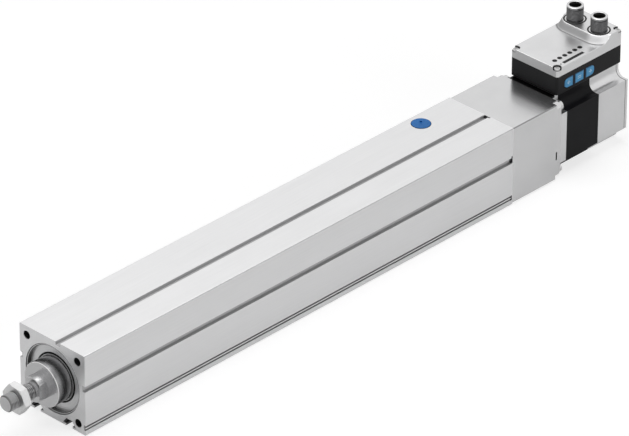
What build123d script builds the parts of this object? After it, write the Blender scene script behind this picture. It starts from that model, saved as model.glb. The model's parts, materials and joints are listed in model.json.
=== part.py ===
from build123d import *
import os
from math import cos, radians

os.makedirs("parts", exist_ok=True)

# Electric cylinder. Origin: rod axis at the barrel's front face. +X: the way the rod
# comes out. +Z: the side that carries the controller. All lengths in millimetres.

# Fits and gaps
fit_gap = 0.05
slide_gap = 0.08
wiper_gap = 0.10
running_gap = 0.30

# Extruded barrel
profile_width = 60.0
profile_corner = 0.8
bore_radius = 20.5
cap_seat_radius = 25.0
front_bolt_pitch = 46.5
front_bolt_radius = 3.0
front_bolt_depth = 25.0
top_groove_offset = 5.5
right_groove_offset = 4.9
left_groove_offset = 6.4
side_groove_mouth = 4.4
side_groove_floor = 3.0
side_groove_depth = 2.0
groove_end_length = 1.8
groove_end_width = 5.5
groove_end_shift = 0.9
nut_slot_offset = 14.75
nut_slot_mouth = 5.9
nut_slot_width = 12.0
nut_slot_lip = 1.6
nut_slot_roof = 4.9
nut_slot_depth = 5.7
edge_groove_height = -24.4
edge_groove_width = 3.4
edge_groove_depth = 1.2
edge_end_grow = 0.4
edge_rib_width = 0.9
guide_groove_width = 6.6
guide_groove_radius = 23.5
guide_angle = 45.0

# Front bearing cap and rod
cap_length = 30.0
cap_recess = 3.0
retaining_ring_width = 1.6
retaining_ring_recess = 0.5
bush_wall = 2.4
bush_length = 22.0
wiper_wall = 1.6
wiper_length = 4.1
wiper_stand = 0.2
rod_radius = 16.0
rod_bore_radius = 11.0
rod_protrusion = 9.9
rod_front_wall = 16.0
rod_chamfer = 0.5
rod_seat_depth = 20.0

# Rod end, M12 x 1.25
stud_shank_radius = 5.2
stud_collar_radius = 9.0
stud_collar_length = 2.1
stud_flat_length = 6.0
stud_flats = 13.0
stud_neck_length = 1.5
stud_neck_radius = 5.3
thread_radius = 6.0
thread_pitch_radius = 5.6
thread_length = 22.5
thread_chamfer = 0.8
lock_nut_flats = 19.0
lock_nut_thickness = 6.0
lock_nut_setback = 7.5
lock_nut_chamfer = 0.7
lock_nut_turn = -6.0

# Travel
stroke = 250.0
front_stop_gap = 1.0
rear_stop_gap = 4.0
buffer_thickness = 3.0
rear_buffer_thickness = 4.0

# Ball nut and its carrier
carrier_length = 70.0
carrier_radius = 20.2
web_thickness = 4.0
web_bore_radius = 8.0
nut_radius = 12.0
nut_bore_radius = 6.3
nut_flange_radius = 18.0
nut_flange_thickness = 6.0
magnet_setback = 52.0
magnet_width = 6.0
magnet_wall = 3.0
shoe_length = 40.0
shoe_setback = 6.0
shoe_seat_radius = 17.5

# Ball screw
screw_radius = 6.0
screw_overrun = 14.0
tip_radius = 4.0
tip_bush_length = 6.0
bearing_journal_radius = 5.0
coupling_journal_radius = 4.0
coupling_journal_length = 24.0
spigot_length = 36.0
bearing_outer_radius = 15.0
bearing_width = 9.0
bearing_gap = 0.3
bearing_ball_radius = 2.1
bearing_ball_count = 10
ring_wall = 2.4
clamp_ring_length = 5.0
clamp_ring_bore = 8.5
screw_nut_radius = 9.0
screw_nut_length = 6.0
screw_nut_clearance = 2.0

# Coupling and its housing
housing_length = 44.0
housing_inset = 0.5
housing_front_wall = 2.0
coupling_cavity_radius = 21.0
hub_radius = 15.0
hub_length = 14.0
hub_start = 4.0
spider_length = 7.0
spider_hub_radius = 6.0
spider_arm_width = 6.0
jaw_gap = 0.3

# Motor, 57 mm class
motor_width = 56.4
notch_start = 19.3
notch_size = 24.0
notch_corner = 5.5
flange_thickness = 4.6
flange_corner = 6.0
pilot_radius = 19.0
pilot_length = 1.6
pry_slot_height = 6.0
pry_slot_centre = -11.0
pry_slot_width = 1.2
pry_slot_depth = 3.0
front_bell_length = 7.4
stator_length = 32.5
rear_bell_length = 27.5
end_plate_thickness = 3.0
end_plate_rear_edge = 0.8
end_plate_front_edge = 0.4
flange_screw_pitch = 48.8
flange_screw_radius = 2.0
flange_screw_length = 62.0
flange_head_radius = 3.5
flange_head_length = 4.0
tie_screw_pitch = 36.8
tie_screw_radius = 1.5
tie_screw_length = 64.0
tie_head_radius = 2.75
tie_head_length = 2.6
motor_shaft_radius = 4.0
motor_bearing_radius = 11.0
motor_bearing_width = 7.0
motor_ball_radius = 1.4
motor_ball_count = 8
motor_ring_wall = 1.8
bearing_hub_wall = 2.2
coil_cavity_radius = 23.9
coil_head_length = 3.0
rotor_radius = 17.0
rotor_end_gap = 3.0
rotor_groove_radius = 14.5
rotor_groove_width = 3.0
pole_slot_count = 8
pole_slot_inner = 18.6
pole_slot_outer = 23.4
pole_slot_width = 7.0
bell_web = 9.0
encoder_cavity_radius = 23.4
shaft_tail = 2.5
encoder_magnet_radius = 3.0
encoder_magnet_length = 3.0
encoder_gap = 2.0
encoder_board_width = 30.0
board_thickness = 1.6
encoder_post_offset = 11.5
encoder_post_radius = 2.5

# Controller on top of the motor
neck_height = 1.3
box_length = 66.2
box_width = 43.0
box_reach = 3.5
box_corner = 2.0
box_wall = 2.5
box_floor = 2.5
tub_height = 14.2
tub_edge = 0.8
gasket_thickness = 0.4
cover_front_height = 6.9
cover_ramp_height = 7.1
platform_height = 12.3
cover_ramp_length = 40.0
lobe_radius = 8.8
lobe_slope = 18.0
cover_wall = 2.2
cover_screw_inset = 2.4
cover_recess_radius = 3.0
cover_recess_depth = 2.2
cover_boss_radius = 4.0
cover_screw_radius = 1.5
cover_head_radius = 2.1
cover_head_length = 1.2
cable_slot_length = 10.0
cable_slot_width = 16.0
link_width = 8.0
link_thickness = 2.0
board_standoff = 1.5
board_post_end = 7.0
board_post_side = 6.0
chip_width = 12.0
capacitor_radius = 3.2
capacitor_height = 7.0
capacitor_setback = 31.0
capacitor_pitch = 9.0
capacitor_side = 7.0
key_board_thickness = 1.0
key_board_height = 10.0
key_board_gap = 1.0

# Lamps, display, keys and connectors
lamp_radius = 1.6
lamp_pitch = 5.12
lamp_count = 6
lamp_first = 7.5
lamp_inset = 9.4
lamp_depth = 5.0
lamp_stand = 0.15
display_start = 9.6
display_length = 20.0
display_width = 2.0
display_inset = 3.2
display_dot_radius = 0.6
display_dot_setback = 7.0
key_pitch = 10.9
key_middle_setback = 22.8
key_length = 8.8
key_height = 7.6
key_level = 6.6
key_thickness = 2.6
key_stand = 0.2
key_gap = 0.25
key_travel = 0.5
dome_radius = 2.5
dome_height = 0.5
connector_rear_inset = 12.6
connector_side_inset = 10.4
connector_radius = 6.0
connector_height = 11.4
connector_bore = 4.3
connector_flange_radius = 7.5
connector_sink = 1.0
connector_rim = 0.5
connector_tail = 4.5
connector_ring_wall = 0.6
contact_radius = 0.5
contact_circle = 2.95
contact_length = 4.5
insert_depth = 8.0

# Seal cap of the pressure port
port_setback = 364.7
port_side = -19.2
port_radius = 5.0
port_depth = 7.0
port_cap_radius = 6.7
port_cap_sink = 1.6
port_cap_stand = 0.3
port_ring_wall = 0.35
port_recess_length = 6.4
port_recess_width = 1.8
port_recess_depth = 0.8

# Stations along the rod axis, worked out from front to rear
half_width = profile_width / 2
x_carrier_front = -(cap_length + front_stop_gap + stroke + buffer_thickness)
x_rod_rear = x_carrier_front - rod_seat_depth
x_nut_front = x_rod_rear - web_thickness
x_carrier_rear = x_carrier_front - carrier_length
x_nut_rear = x_carrier_rear - nut_flange_thickness
x_spigot_front = x_nut_rear - rear_stop_gap - rear_buffer_thickness
x_barrel_rear = x_spigot_front - spigot_length
x_screw_front = x_nut_front + stroke + screw_overrun
x_screw_bearing = x_spigot_front - clamp_ring_length
x_bearing_rear = x_screw_bearing - 2 * bearing_width - bearing_gap
x_screw_nut_rear = x_bearing_rear - screw_nut_length
x_cavity_front = x_barrel_rear - housing_front_wall
x_screw_rear = x_screw_nut_rear - coupling_journal_length
x_housing_rear = x_barrel_rear - housing_length
x_flange_rear = x_housing_rear - flange_thickness
x_stator_front = x_flange_rear - front_bell_length
x_stator_rear = x_stator_front - stator_length
x_bell_rear = x_stator_rear - rear_bell_length
x_motor_rear = x_bell_rear - end_plate_thickness
x_hub_front = x_barrel_rear - hub_start
x_spider_front = x_hub_front - hub_length
x_motor_hub_front = x_spider_front - spider_length
x_motor_hub_rear = x_motor_hub_front - hub_length

# Stations of the rod end
x_collar_front = rod_protrusion + stud_collar_length
x_flats_front = x_collar_front + stud_flat_length
x_thread_start = x_flats_front + stud_neck_length
x_tip = x_thread_start + thread_length
x_lock_nut = x_tip - lock_nut_setback - lock_nut_thickness

# Levels of the controller
z_motor_top = motor_width / 2
z_tub = z_motor_top + neck_height
z_split = z_tub + tub_height
z_cover = z_split + gasket_thickness
z_cover_front = z_cover + cover_front_height
z_cover_ramp = z_cover + cover_ramp_height
z_platform = z_cover + platform_height
z_floor = z_tub + box_floor
z_board = z_floor + board_standoff
x_box_front = x_stator_front + box_reach
x_box_rear = x_box_front - box_length
x_box_centre = (x_box_front + x_box_rear) / 2
x_ramp_end = x_box_front - cover_ramp_length
y_key_face = box_width / 2
screw_span_x = box_length - 2 * cover_screw_inset
screw_span_y = box_width - 2 * cover_screw_inset


def turned(x_from, x_to, outer, inner=0.0, mode=Mode.ADD):
    """A ring or disc about the rod axis, between two stations, in the active part."""
    with BuildSketch(Plane.YZ.offset(x_from)) as ring:
        Circle(outer)
        if inner > 0:
            Circle(inner, mode=Mode.SUBTRACT)
    extrude(ring.sketch, amount=x_to - x_from, mode=mode)


def lathe(*points, mode=Mode.ADD):
    """A turned piece from its half section, given as (station, radius) pairs."""
    with BuildSketch(Plane.XZ) as section:
        with BuildLine():
            Polyline(*points, close=True)
        make_face()
    revolve(section.sketch, axis=Axis.X, mode=mode)


def corner_rods(x_from, x_to, pitch, radius, mode=Mode.SUBTRACT):
    """Four round rods or holes along the axis, on a square pitch."""
    with BuildSketch(Plane.YZ.offset(x_from)) as rods:
        with GridLocations(pitch, pitch, 2, 2):
            Circle(radius)
    extrude(rods.sketch, amount=x_to - x_from, mode=mode)


def upright(z_from, z_to, sketch_at, mode=Mode.ADD):
    """A sketch drawn by sketch_at on the level z_from, raised to z_to."""
    with BuildSketch(Plane.XY.offset(z_from)) as outline:
        sketch_at()
    extrude(outline.sketch, amount=z_to - z_from, mode=mode)


def motor_section(x_from, x_to):
    """The motor's square section with notched corners and the neck under the controller."""
    notch_centre = notch_start + notch_size / 2
    with BuildSketch(Plane.YZ.offset(x_from)) as section:
        Rectangle(motor_width, motor_width)
        with Locations((0, z_motor_top)):
            Rectangle(2 * notch_start, 2 * neck_height)
        with GridLocations(2 * notch_centre, 2 * notch_centre, 2, 2):
            RectangleRounded(notch_size, notch_size, notch_corner, mode=Mode.SUBTRACT)
    extrude(section.sketch, amount=x_to - x_from)


def race_rings(stations, width, outer, inner):
    """One plain bearing ring at each station, each a solid of its own."""
    for station in stations:
        turned(station - width, station, outer, inner)


def race_balls(stations, width, pitch_radius, ball_radius, count):
    """A ring of balls in the middle of each bearing."""
    for station in stations:
        with Locations(Plane.YZ.offset(station - width / 2)):
            with PolarLocations(pitch_radius, count):
                Sphere(ball_radius)


def jaws(x_from, x_to, first_angle):
    """Two claws of a coupling hub, which reach between the spider's arms."""
    reach = 2 * hub_radius
    with BuildSketch(Plane.YZ.offset(x_from)) as claws:
        with PolarLocations(0, 2, start_angle=first_angle):
            Polygon((0, 0), (reach, -reach), (reach, reach), align=None)
        Circle(hub_radius, mode=Mode.INTERSECT)
        Circle(spider_hub_radius + jaw_gap, mode=Mode.SUBTRACT)
        with PolarLocations(hub_radius / 2, 4, start_angle=45):
            Rectangle(2 * hub_radius, spider_arm_width + 2 * jaw_gap, mode=Mode.SUBTRACT)
    extrude(claws.sketch, amount=x_to - x_from)


def side_groove():
    """The shallow groove of three sides, narrower at its floor, drawn in the top side."""
    with BuildSketch() as groove:
        Polygon((-side_groove_mouth / 2, half_width), (side_groove_mouth / 2, half_width),
                (side_groove_floor / 2, half_width - side_groove_depth),
                (-side_groove_floor / 2, half_width - side_groove_depth), align=None)
    return groove.sketch


# Barrel, an aluminium extrusion with shallow grooves, nut slots and edge grooves
groove_shape = side_groove()
with BuildPart() as profile_barrel:
    with BuildSketch(Plane.YZ.offset(x_barrel_rear)) as barrel_section:
        RectangleRounded(profile_width, profile_width, profile_corner)
        Circle(bore_radius, mode=Mode.SUBTRACT)
        with PolarLocations((guide_groove_radius + bore_radius) / 2 - 1, 2, start_angle=guide_angle):
            Rectangle(guide_groove_radius - bore_radius + 2, guide_groove_width,
                      mode=Mode.SUBTRACT)
        with Locations(Location((top_groove_offset, 0), 0), Location((0, left_groove_offset), 90),
                       Location((0, right_groove_offset), -90)):
            add(groove_shape, mode=Mode.SUBTRACT)
        with GridLocations(2 * nut_slot_offset, 0, 2, 1):
            with Locations((0, -half_width + nut_slot_depth / 2)):
                Rectangle(nut_slot_mouth, nut_slot_depth, mode=Mode.SUBTRACT)
            Polygon((-nut_slot_width / 2, -half_width + nut_slot_lip),
                    (nut_slot_width / 2, -half_width + nut_slot_lip),
                    (nut_slot_roof / 2, -half_width + nut_slot_depth),
                    (-nut_slot_roof / 2, -half_width + nut_slot_depth),
                    align=None, mode=Mode.SUBTRACT)
        with GridLocations(profile_width, 0, 2, 1):
            for side in (-1, 1):
                level = edge_groove_height + side * (edge_groove_width + edge_rib_width) / 4
                with Locations((0, level)):
                    Rectangle(2 * edge_groove_depth, (edge_groove_width - edge_rib_width) / 2,
                              mode=Mode.SUBTRACT)
    extrude(amount=-x_barrel_rear)
    turned(-cap_length, 0, cap_seat_radius, mode=Mode.SUBTRACT)
    corner_rods(-front_bolt_depth, 0, front_bolt_pitch, front_bolt_radius)
    corner_rods(x_barrel_rear, x_flange_rear + flange_screw_length + 1, flange_screw_pitch,
                flange_screw_radius + fit_gap)
    with BuildSketch(Plane.YZ.offset(x_barrel_rear)) as groove_ends:
        with Locations((top_groove_offset + groove_end_shift, half_width)):
            Rectangle(groove_end_width, 2 * side_groove_depth)
        with Locations((half_width, right_groove_offset + groove_end_shift),
                       (-half_width, left_groove_offset + groove_end_shift)):
            Rectangle(2 * side_groove_depth, groove_end_width)
        with Locations((half_width, edge_groove_height), (-half_width, edge_groove_height)):
            Rectangle(2 * edge_groove_depth, edge_groove_width + edge_end_grow)
    extrude(groove_ends.sketch, amount=groove_end_length, mode=Mode.SUBTRACT)
    with BuildSketch(Plane.XY.offset(half_width)) as port_seat:
        with Locations((-port_setback, port_side)):
            Circle(port_cap_radius + port_ring_wall + fit_gap)
    extrude(port_seat.sketch, amount=-port_cap_sink, mode=Mode.SUBTRACT)
    with BuildSketch(Plane.XY.offset(half_width)) as port_hole:
        with Locations((-port_setback, port_side)):
            Circle(port_radius + fit_gap)
    extrude(port_hole.sketch, amount=-port_depth, mode=Mode.SUBTRACT)
profile_barrel.part.label = "profile_barrel"
export_step(profile_barrel.part, "parts/profile_barrel.step")

# Seal cap of the pressure port, with a screwdriver slot, on its sealing ring
with BuildPart() as port_cap:
    with BuildSketch(Plane.XY.offset(half_width - port_cap_sink)) as cap_disc:
        with Locations((-port_setback, port_side)):
            Circle(port_cap_radius)
    extrude(cap_disc.sketch, amount=port_cap_sink + port_cap_stand)
    with BuildSketch(Plane.XY.offset(half_width - port_depth + 1)) as cap_plug:
        with Locations((-port_setback, port_side)):
            Circle(port_radius)
    extrude(cap_plug.sketch, amount=port_depth - 1 - port_cap_sink)
    with BuildSketch(Plane.XY.offset(half_width + port_cap_stand)) as cap_slot:
        with Locations(Location((-port_setback, port_side), 45)):
            SlotOverall(port_recess_length, port_recess_width)
    extrude(cap_slot.sketch, amount=-port_recess_depth, mode=Mode.SUBTRACT)
port_cap.part.label = "port_cap"
export_step(port_cap.part, "parts/port_cap.step")

with BuildPart() as port_seal:
    with BuildSketch(Plane.XY.offset(half_width - port_cap_sink)) as seal_ring:
        with Locations((-port_setback, port_side)):
            Circle(port_cap_radius + port_ring_wall)
            Circle(port_cap_radius + fit_gap, mode=Mode.SUBTRACT)
    extrude(seal_ring.sketch, amount=port_cap_sink)
port_seal.part.label = "port_seal"
export_step(port_seal.part, "parts/port_seal.step")

# Front bearing cap, with the guide bush and the wiper that the rod runs in
bush_outer = rod_radius + slide_gap + bush_wall
wiper_outer = rod_radius + wiper_gap + wiper_wall
x_bush_front = -cap_length + bush_length
x_wiper_rear = -cap_recess - wiper_length + wiper_stand
with BuildPart() as bearing_cap:
    turned(-cap_length, -cap_recess, cap_seat_radius - fit_gap, rod_radius + running_gap)
    turned(-cap_length, x_bush_front, bush_outer + fit_gap, mode=Mode.SUBTRACT)
    turned(x_wiper_rear, -cap_recess, wiper_outer + fit_gap, mode=Mode.SUBTRACT)
bearing_cap.part.label = "bearing_cap"
export_step(bearing_cap.part, "parts/bearing_cap.step")

with BuildPart() as retaining_ring:
    turned(-cap_recess, -retaining_ring_recess, cap_seat_radius - fit_gap,
           cap_seat_radius - retaining_ring_width)
    chamfer(retaining_ring.edges().filter_by(GeomType.CIRCLE).group_by(Axis.X)[-1], 0.4)
retaining_ring.part.label = "retaining_ring"
export_step(retaining_ring.part, "parts/retaining_ring.step")

with BuildPart() as guide_bush:
    turned(-cap_length, x_bush_front, bush_outer, rod_radius + slide_gap)
guide_bush.part.label = "guide_bush"
export_step(guide_bush.part, "parts/guide_bush.step")

with BuildPart() as rod_wiper:
    turned(x_wiper_rear, -cap_recess + wiper_stand, wiper_outer, rod_radius + wiper_gap)
rod_wiper.part.label = "rod_wiper"
export_step(rod_wiper.part, "parts/rod_wiper.step")

# Piston rod, hollow from the rear so that the screw can pass inside it
x_rod_wall = rod_protrusion - rod_front_wall
with BuildPart() as piston_rod:
    lathe((x_rod_rear, rod_bore_radius), (x_rod_rear, rod_radius),
          (rod_protrusion - rod_chamfer, rod_radius), (rod_protrusion, rod_radius - rod_chamfer),
          (rod_protrusion, stud_shank_radius + fit_gap), (x_rod_wall, stud_shank_radius + fit_gap),
          (x_rod_wall, rod_bore_radius))
piston_rod.part.label = "piston_rod"
export_step(piston_rod.part, "parts/piston_rod.step")

# Rod end, screwed into the rod: collar, wrench flats, neck and the M12 thread, which is cut
# back to its pitch diameter where the lock nut sits
with BuildPart() as rod_end:
    lathe((x_rod_wall, 0), (x_rod_wall, stud_shank_radius), (rod_protrusion, stud_shank_radius),
          (rod_protrusion, stud_collar_radius), (x_flats_front - rod_chamfer, stud_collar_radius),
          (x_flats_front, stud_collar_radius - rod_chamfer), (x_flats_front, stud_neck_radius),
          (x_thread_start, stud_neck_radius), (x_thread_start, thread_radius),
          (x_lock_nut, thread_radius), (x_lock_nut, thread_pitch_radius),
          (x_lock_nut + lock_nut_thickness, thread_pitch_radius),
          (x_lock_nut + lock_nut_thickness, thread_radius),
          (x_tip - thread_chamfer, thread_radius), (x_tip, thread_radius - thread_chamfer),
          (x_tip, 0))
    with BuildSketch(Plane.YZ.offset(x_collar_front)) as flats_cut:
        with GridLocations(stud_flats + stud_collar_radius, 0, 2, 1):
            Rectangle(stud_collar_radius, 3 * stud_collar_radius)
    extrude(flats_cut.sketch, amount=stud_flat_length, mode=Mode.SUBTRACT)
rod_end.part.label = "rod_end"
export_step(rod_end.part, "parts/rod_end.step")

# Lock nut on the rod end's thread, with turned corners
with BuildPart() as lock_nut:
    with BuildSketch(Plane.YZ.offset(x_lock_nut)) as hexagon:
        RegularPolygon(lock_nut_flats / 2, 6, major_radius=False, rotation=lock_nut_turn)
        Circle(thread_pitch_radius + fit_gap, mode=Mode.SUBTRACT)
    extrude(hexagon.sketch, amount=lock_nut_thickness)
    across_corners = lock_nut_flats / 2 / cos(radians(30))
    lathe((x_lock_nut, 0), (x_lock_nut, across_corners - 2 * lock_nut_chamfer),
          (x_lock_nut + lock_nut_chamfer, across_corners),
          (x_lock_nut + lock_nut_thickness - lock_nut_chamfer, across_corners),
          (x_lock_nut + lock_nut_thickness, across_corners - 2 * lock_nut_chamfer),
          (x_lock_nut + lock_nut_thickness, 0), mode=Mode.INTERSECT)
lock_nut.part.label = "lock_nut"
export_step(lock_nut.part, "parts/lock_nut.step")

# Carrier on the rod's rear end: it holds the ball nut, the guide shoes and the magnet
x_magnet_front = x_carrier_front - magnet_setback
shoe_reach = guide_groove_radius - running_gap
shoe_width = guide_groove_width - 2 * running_gap
x_shoe_rear = x_carrier_front - shoe_setback - shoe_length
with BuildPart() as nut_carrier:
    turned(x_carrier_rear, x_carrier_front, carrier_radius, web_bore_radius)
    turned(x_rod_rear, x_carrier_front, rod_radius + fit_gap, mode=Mode.SUBTRACT)
    turned(x_carrier_rear, x_nut_front, nut_radius + fit_gap, mode=Mode.SUBTRACT)
    turned(x_magnet_front - magnet_width, x_magnet_front, carrier_radius + 1,
           carrier_radius - magnet_wall, mode=Mode.SUBTRACT)
    with BuildSketch(Plane.YZ.offset(x_shoe_rear)) as shoe_pockets:
        with PolarLocations((shoe_seat_radius + carrier_radius) / 2 + 1, 2,
                            start_angle=guide_angle):
            Rectangle(carrier_radius - shoe_seat_radius + 2, shoe_width + 2 * fit_gap)
    extrude(shoe_pockets.sketch, amount=shoe_length, mode=Mode.SUBTRACT)
nut_carrier.part.label = "nut_carrier"
export_step(nut_carrier.part, "parts/nut_carrier.step")

with BuildPart() as guide_shoes:
    with BuildSketch(Plane.YZ.offset(x_shoe_rear + fit_gap)) as shoe_section:
        with PolarLocations((shoe_seat_radius + shoe_reach) / 2, 2, start_angle=guide_angle):
            Rectangle(shoe_reach - shoe_seat_radius - fit_gap, shoe_width)
    extrude(shoe_section.sketch, amount=shoe_length - 2 * fit_gap)
guide_shoes.part.label = "guide_shoes"
export_step(guide_shoes.part, "parts/guide_shoes.step")

with BuildPart() as magnet_ring:
    turned(x_magnet_front - magnet_width + fit_gap, x_magnet_front - fit_gap,
           carrier_radius - fit_gap, carrier_radius - magnet_wall + fit_gap)
magnet_ring.part.label = "magnet_ring"
export_step(magnet_ring.part, "parts/magnet_ring.step")

with BuildPart() as front_buffer:
    turned(x_carrier_front, x_carrier_front + buffer_thickness, carrier_radius - running_gap,
           rod_radius + running_gap)
front_buffer.part.label = "front_buffer"
export_step(front_buffer.part, "parts/front_buffer.step")

with BuildPart() as ball_nut:
    turned(x_carrier_rear, x_nut_front, nut_radius, nut_bore_radius)
    turned(x_nut_rear, x_carrier_rear, nut_flange_radius, nut_bore_radius)
    with BuildSketch(Plane.YZ.offset(x_nut_rear)) as nut_screw_holes:
        with PolarLocations((nut_radius + nut_flange_radius) / 2, 4):
            Circle(tie_screw_radius + fit_gap)
    extrude(nut_screw_holes.sketch, amount=nut_flange_thickness, mode=Mode.SUBTRACT)
ball_nut.part.label = "ball_nut"
export_step(ball_nut.part, "parts/ball_nut.step")

# Ball screw: tip journal, threaded stretch, bearing journal and coupling journal
with BuildPart() as ball_screw:
    lathe((x_screw_rear, 0), (x_screw_rear, coupling_journal_radius),
          (x_screw_nut_rear, coupling_journal_radius), (x_screw_nut_rear, bearing_journal_radius),
          (x_screw_bearing, bearing_journal_radius), (x_screw_bearing, screw_radius),
          (x_screw_front - tip_bush_length, screw_radius),
          (x_screw_front - tip_bush_length, tip_radius), (x_screw_front, tip_radius),
          (x_screw_front, 0))
ball_screw.part.label = "ball_screw"
export_step(ball_screw.part, "parts/ball_screw.step")

with BuildPart() as screw_tip_bush:
    turned(x_screw_front - tip_bush_length, x_screw_front, rod_bore_radius - running_gap,
           tip_radius + fit_gap)
screw_tip_bush.part.label = "screw_tip_bush"
export_step(screw_tip_bush.part, "parts/screw_tip_bush.step")

# Screw bearings in the housing's spigot, with the rings that hold them
screw_bearings = (x_screw_bearing, x_screw_bearing - bearing_width - bearing_gap)
outer_race = bearing_outer_radius - ring_wall
inner_race = bearing_journal_radius + fit_gap + ring_wall
ball_pitch_radius = (outer_race + inner_race) / 2
with BuildPart() as screw_bearing_outer_rings:
    race_rings(screw_bearings, bearing_width, bearing_outer_radius, outer_race)
screw_bearing_outer_rings.part.label = "screw_bearing_outer_rings"
export_step(screw_bearing_outer_rings.part, "parts/screw_bearing_outer_rings.step")

with BuildPart() as screw_bearing_inner_rings:
    race_rings(screw_bearings, bearing_width, inner_race, bearing_journal_radius + fit_gap)
screw_bearing_inner_rings.part.label = "screw_bearing_inner_rings"
export_step(screw_bearing_inner_rings.part, "parts/screw_bearing_inner_rings.step")

with BuildPart() as bearing_clamp_ring:
    turned(x_screw_bearing, x_spigot_front, bearing_outer_radius, clamp_ring_bore)
bearing_clamp_ring.part.label = "bearing_clamp_ring"
export_step(bearing_clamp_ring.part, "parts/bearing_clamp_ring.step")

with BuildPart() as screw_nut:
    turned(x_screw_nut_rear, x_bearing_rear, screw_nut_radius, bearing_journal_radius + fit_gap)
screw_nut.part.label = "screw_nut"
export_step(screw_nut.part, "parts/screw_nut.step")

with BuildPart() as rear_buffer:
    turned(x_spigot_front, x_spigot_front + rear_buffer_thickness, bore_radius - running_gap,
           clamp_ring_bore + running_gap)
rear_buffer.part.label = "rear_buffer"
export_step(rear_buffer.part, "parts/rear_buffer.step")

# Coupling housing, with the spigot that enters the barrel and seats the bearings
housing_width = profile_width - 2 * housing_inset
with BuildPart() as coupling_housing:
    with BuildSketch(Plane.YZ.offset(x_housing_rear)) as housing_section:
        RectangleRounded(housing_width, housing_width, profile_corner)
    extrude(housing_section.sketch, amount=housing_length)
    turned(x_barrel_rear, x_spigot_front, bore_radius - wiper_gap)
    turned(x_housing_rear, x_cavity_front, coupling_cavity_radius, mode=Mode.SUBTRACT)
    turned(x_bearing_rear, x_spigot_front, bearing_outer_radius + fit_gap, mode=Mode.SUBTRACT)
    turned(x_cavity_front, x_bearing_rear, screw_nut_radius + screw_nut_clearance,
           mode=Mode.SUBTRACT)
    corner_rods(x_housing_rear, x_barrel_rear, flange_screw_pitch, flange_screw_radius + fit_gap)
coupling_housing.part.label = "coupling_housing"
export_step(coupling_housing.part, "parts/coupling_housing.step")

# Jaw coupling between the screw and the motor shaft
with BuildPart() as screw_hub:
    turned(x_spider_front, x_hub_front, hub_radius, coupling_journal_radius + fit_gap)
    jaws(x_spider_front - spider_length + jaw_gap, x_spider_front, 0)
screw_hub.part.label = "screw_hub"
export_step(screw_hub.part, "parts/screw_hub.step")

with BuildPart() as motor_hub:
    turned(x_motor_hub_rear, x_motor_hub_front, hub_radius, motor_shaft_radius + fit_gap)
    jaws(x_motor_hub_front, x_spider_front - jaw_gap, 90)
motor_hub.part.label = "motor_hub"
export_step(motor_hub.part, "parts/motor_hub.step")

with BuildPart() as coupling_spider:
    with BuildSketch(Plane.YZ.offset(x_motor_hub_front + fit_gap)) as star:
        with PolarLocations(hub_radius / 2, 4, start_angle=45):
            Rectangle(hub_radius, spider_arm_width)
        Circle(spider_hub_radius)
        Circle(hub_radius, mode=Mode.INTERSECT)
        Circle(motor_shaft_radius + running_gap, mode=Mode.SUBTRACT)
    extrude(star.sketch, amount=spider_length - 2 * fit_gap)
coupling_spider.part.label = "coupling_spider"
export_step(coupling_spider.part, "parts/coupling_spider.step")

# Motor flange, the size of the housing, with its pilot and two pry slots
with BuildPart() as motor_flange:
    with BuildSketch(Plane.YZ.offset(x_flange_rear)) as flange_section:
        RectangleRounded(housing_width, housing_width, flange_corner)
    extrude(flange_section.sketch, amount=flange_thickness)
    turned(x_housing_rear, x_housing_rear + pilot_length, pilot_radius)
    turned(x_flange_rear, x_housing_rear + pilot_length, motor_shaft_radius * 2, mode=Mode.SUBTRACT)
    corner_rods(x_flange_rear, x_housing_rear, flange_screw_pitch, flange_screw_radius + fit_gap)
    corner_rods(x_flange_rear, x_housing_rear, tie_screw_pitch, tie_screw_radius + fit_gap)
    with BuildSketch(Plane.YZ.offset(x_housing_rear)) as pry_slots:
        with Locations((housing_width / 2, pry_slot_centre), (-housing_width / 2, pry_slot_centre)):
            Rectangle(2 * pry_slot_depth, pry_slot_height)
    extrude(pry_slots.sketch, amount=-pry_slot_width, mode=Mode.SUBTRACT)
motor_flange.part.label = "motor_flange"
export_step(motor_flange.part, "parts/motor_flange.step")

# Long screws through flange and housing into the barrel
with BuildPart() as flange_screws:
    corner_rods(x_flange_rear - flange_head_length, x_flange_rear, flange_screw_pitch,
                flange_head_radius, mode=Mode.ADD)
    corner_rods(x_flange_rear, x_flange_rear + flange_screw_length, flange_screw_pitch,
                flange_screw_radius, mode=Mode.ADD)
    with BuildSketch(Plane.YZ.offset(x_flange_rear - flange_head_length)) as head_sockets:
        with GridLocations(flange_screw_pitch, flange_screw_pitch, 2, 2):
            RegularPolygon(flange_screw_radius * 0.9, 6)
    extrude(head_sockets.sketch, amount=flange_head_length / 2, mode=Mode.SUBTRACT)
flange_screws.part.label = "flange_screws"
export_step(flange_screws.part, "parts/flange_screws.step")

# Motor front bell, with the front bearing's hub and room for the coil heads
x_front_bearing = x_stator_front + motor_bearing_width
bearing_hub = motor_bearing_radius + bearing_hub_wall
coil_room = coil_head_length + fit_gap
with BuildPart() as motor_front_bell:
    motor_section(x_stator_front, x_flange_rear)
    turned(x_stator_front, x_stator_front + coil_room, coil_cavity_radius, bearing_hub,
           mode=Mode.SUBTRACT)
    turned(x_stator_front, x_front_bearing, motor_bearing_radius + fit_gap, mode=Mode.SUBTRACT)
    turned(x_stator_front, x_flange_rear, motor_shaft_radius * 2, mode=Mode.SUBTRACT)
    corner_rods(x_stator_front, x_flange_rear, tie_screw_pitch, tie_screw_radius + fit_gap)
motor_front_bell.part.label = "motor_front_bell"
export_step(motor_front_bell.part, "parts/motor_front_bell.step")

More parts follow.
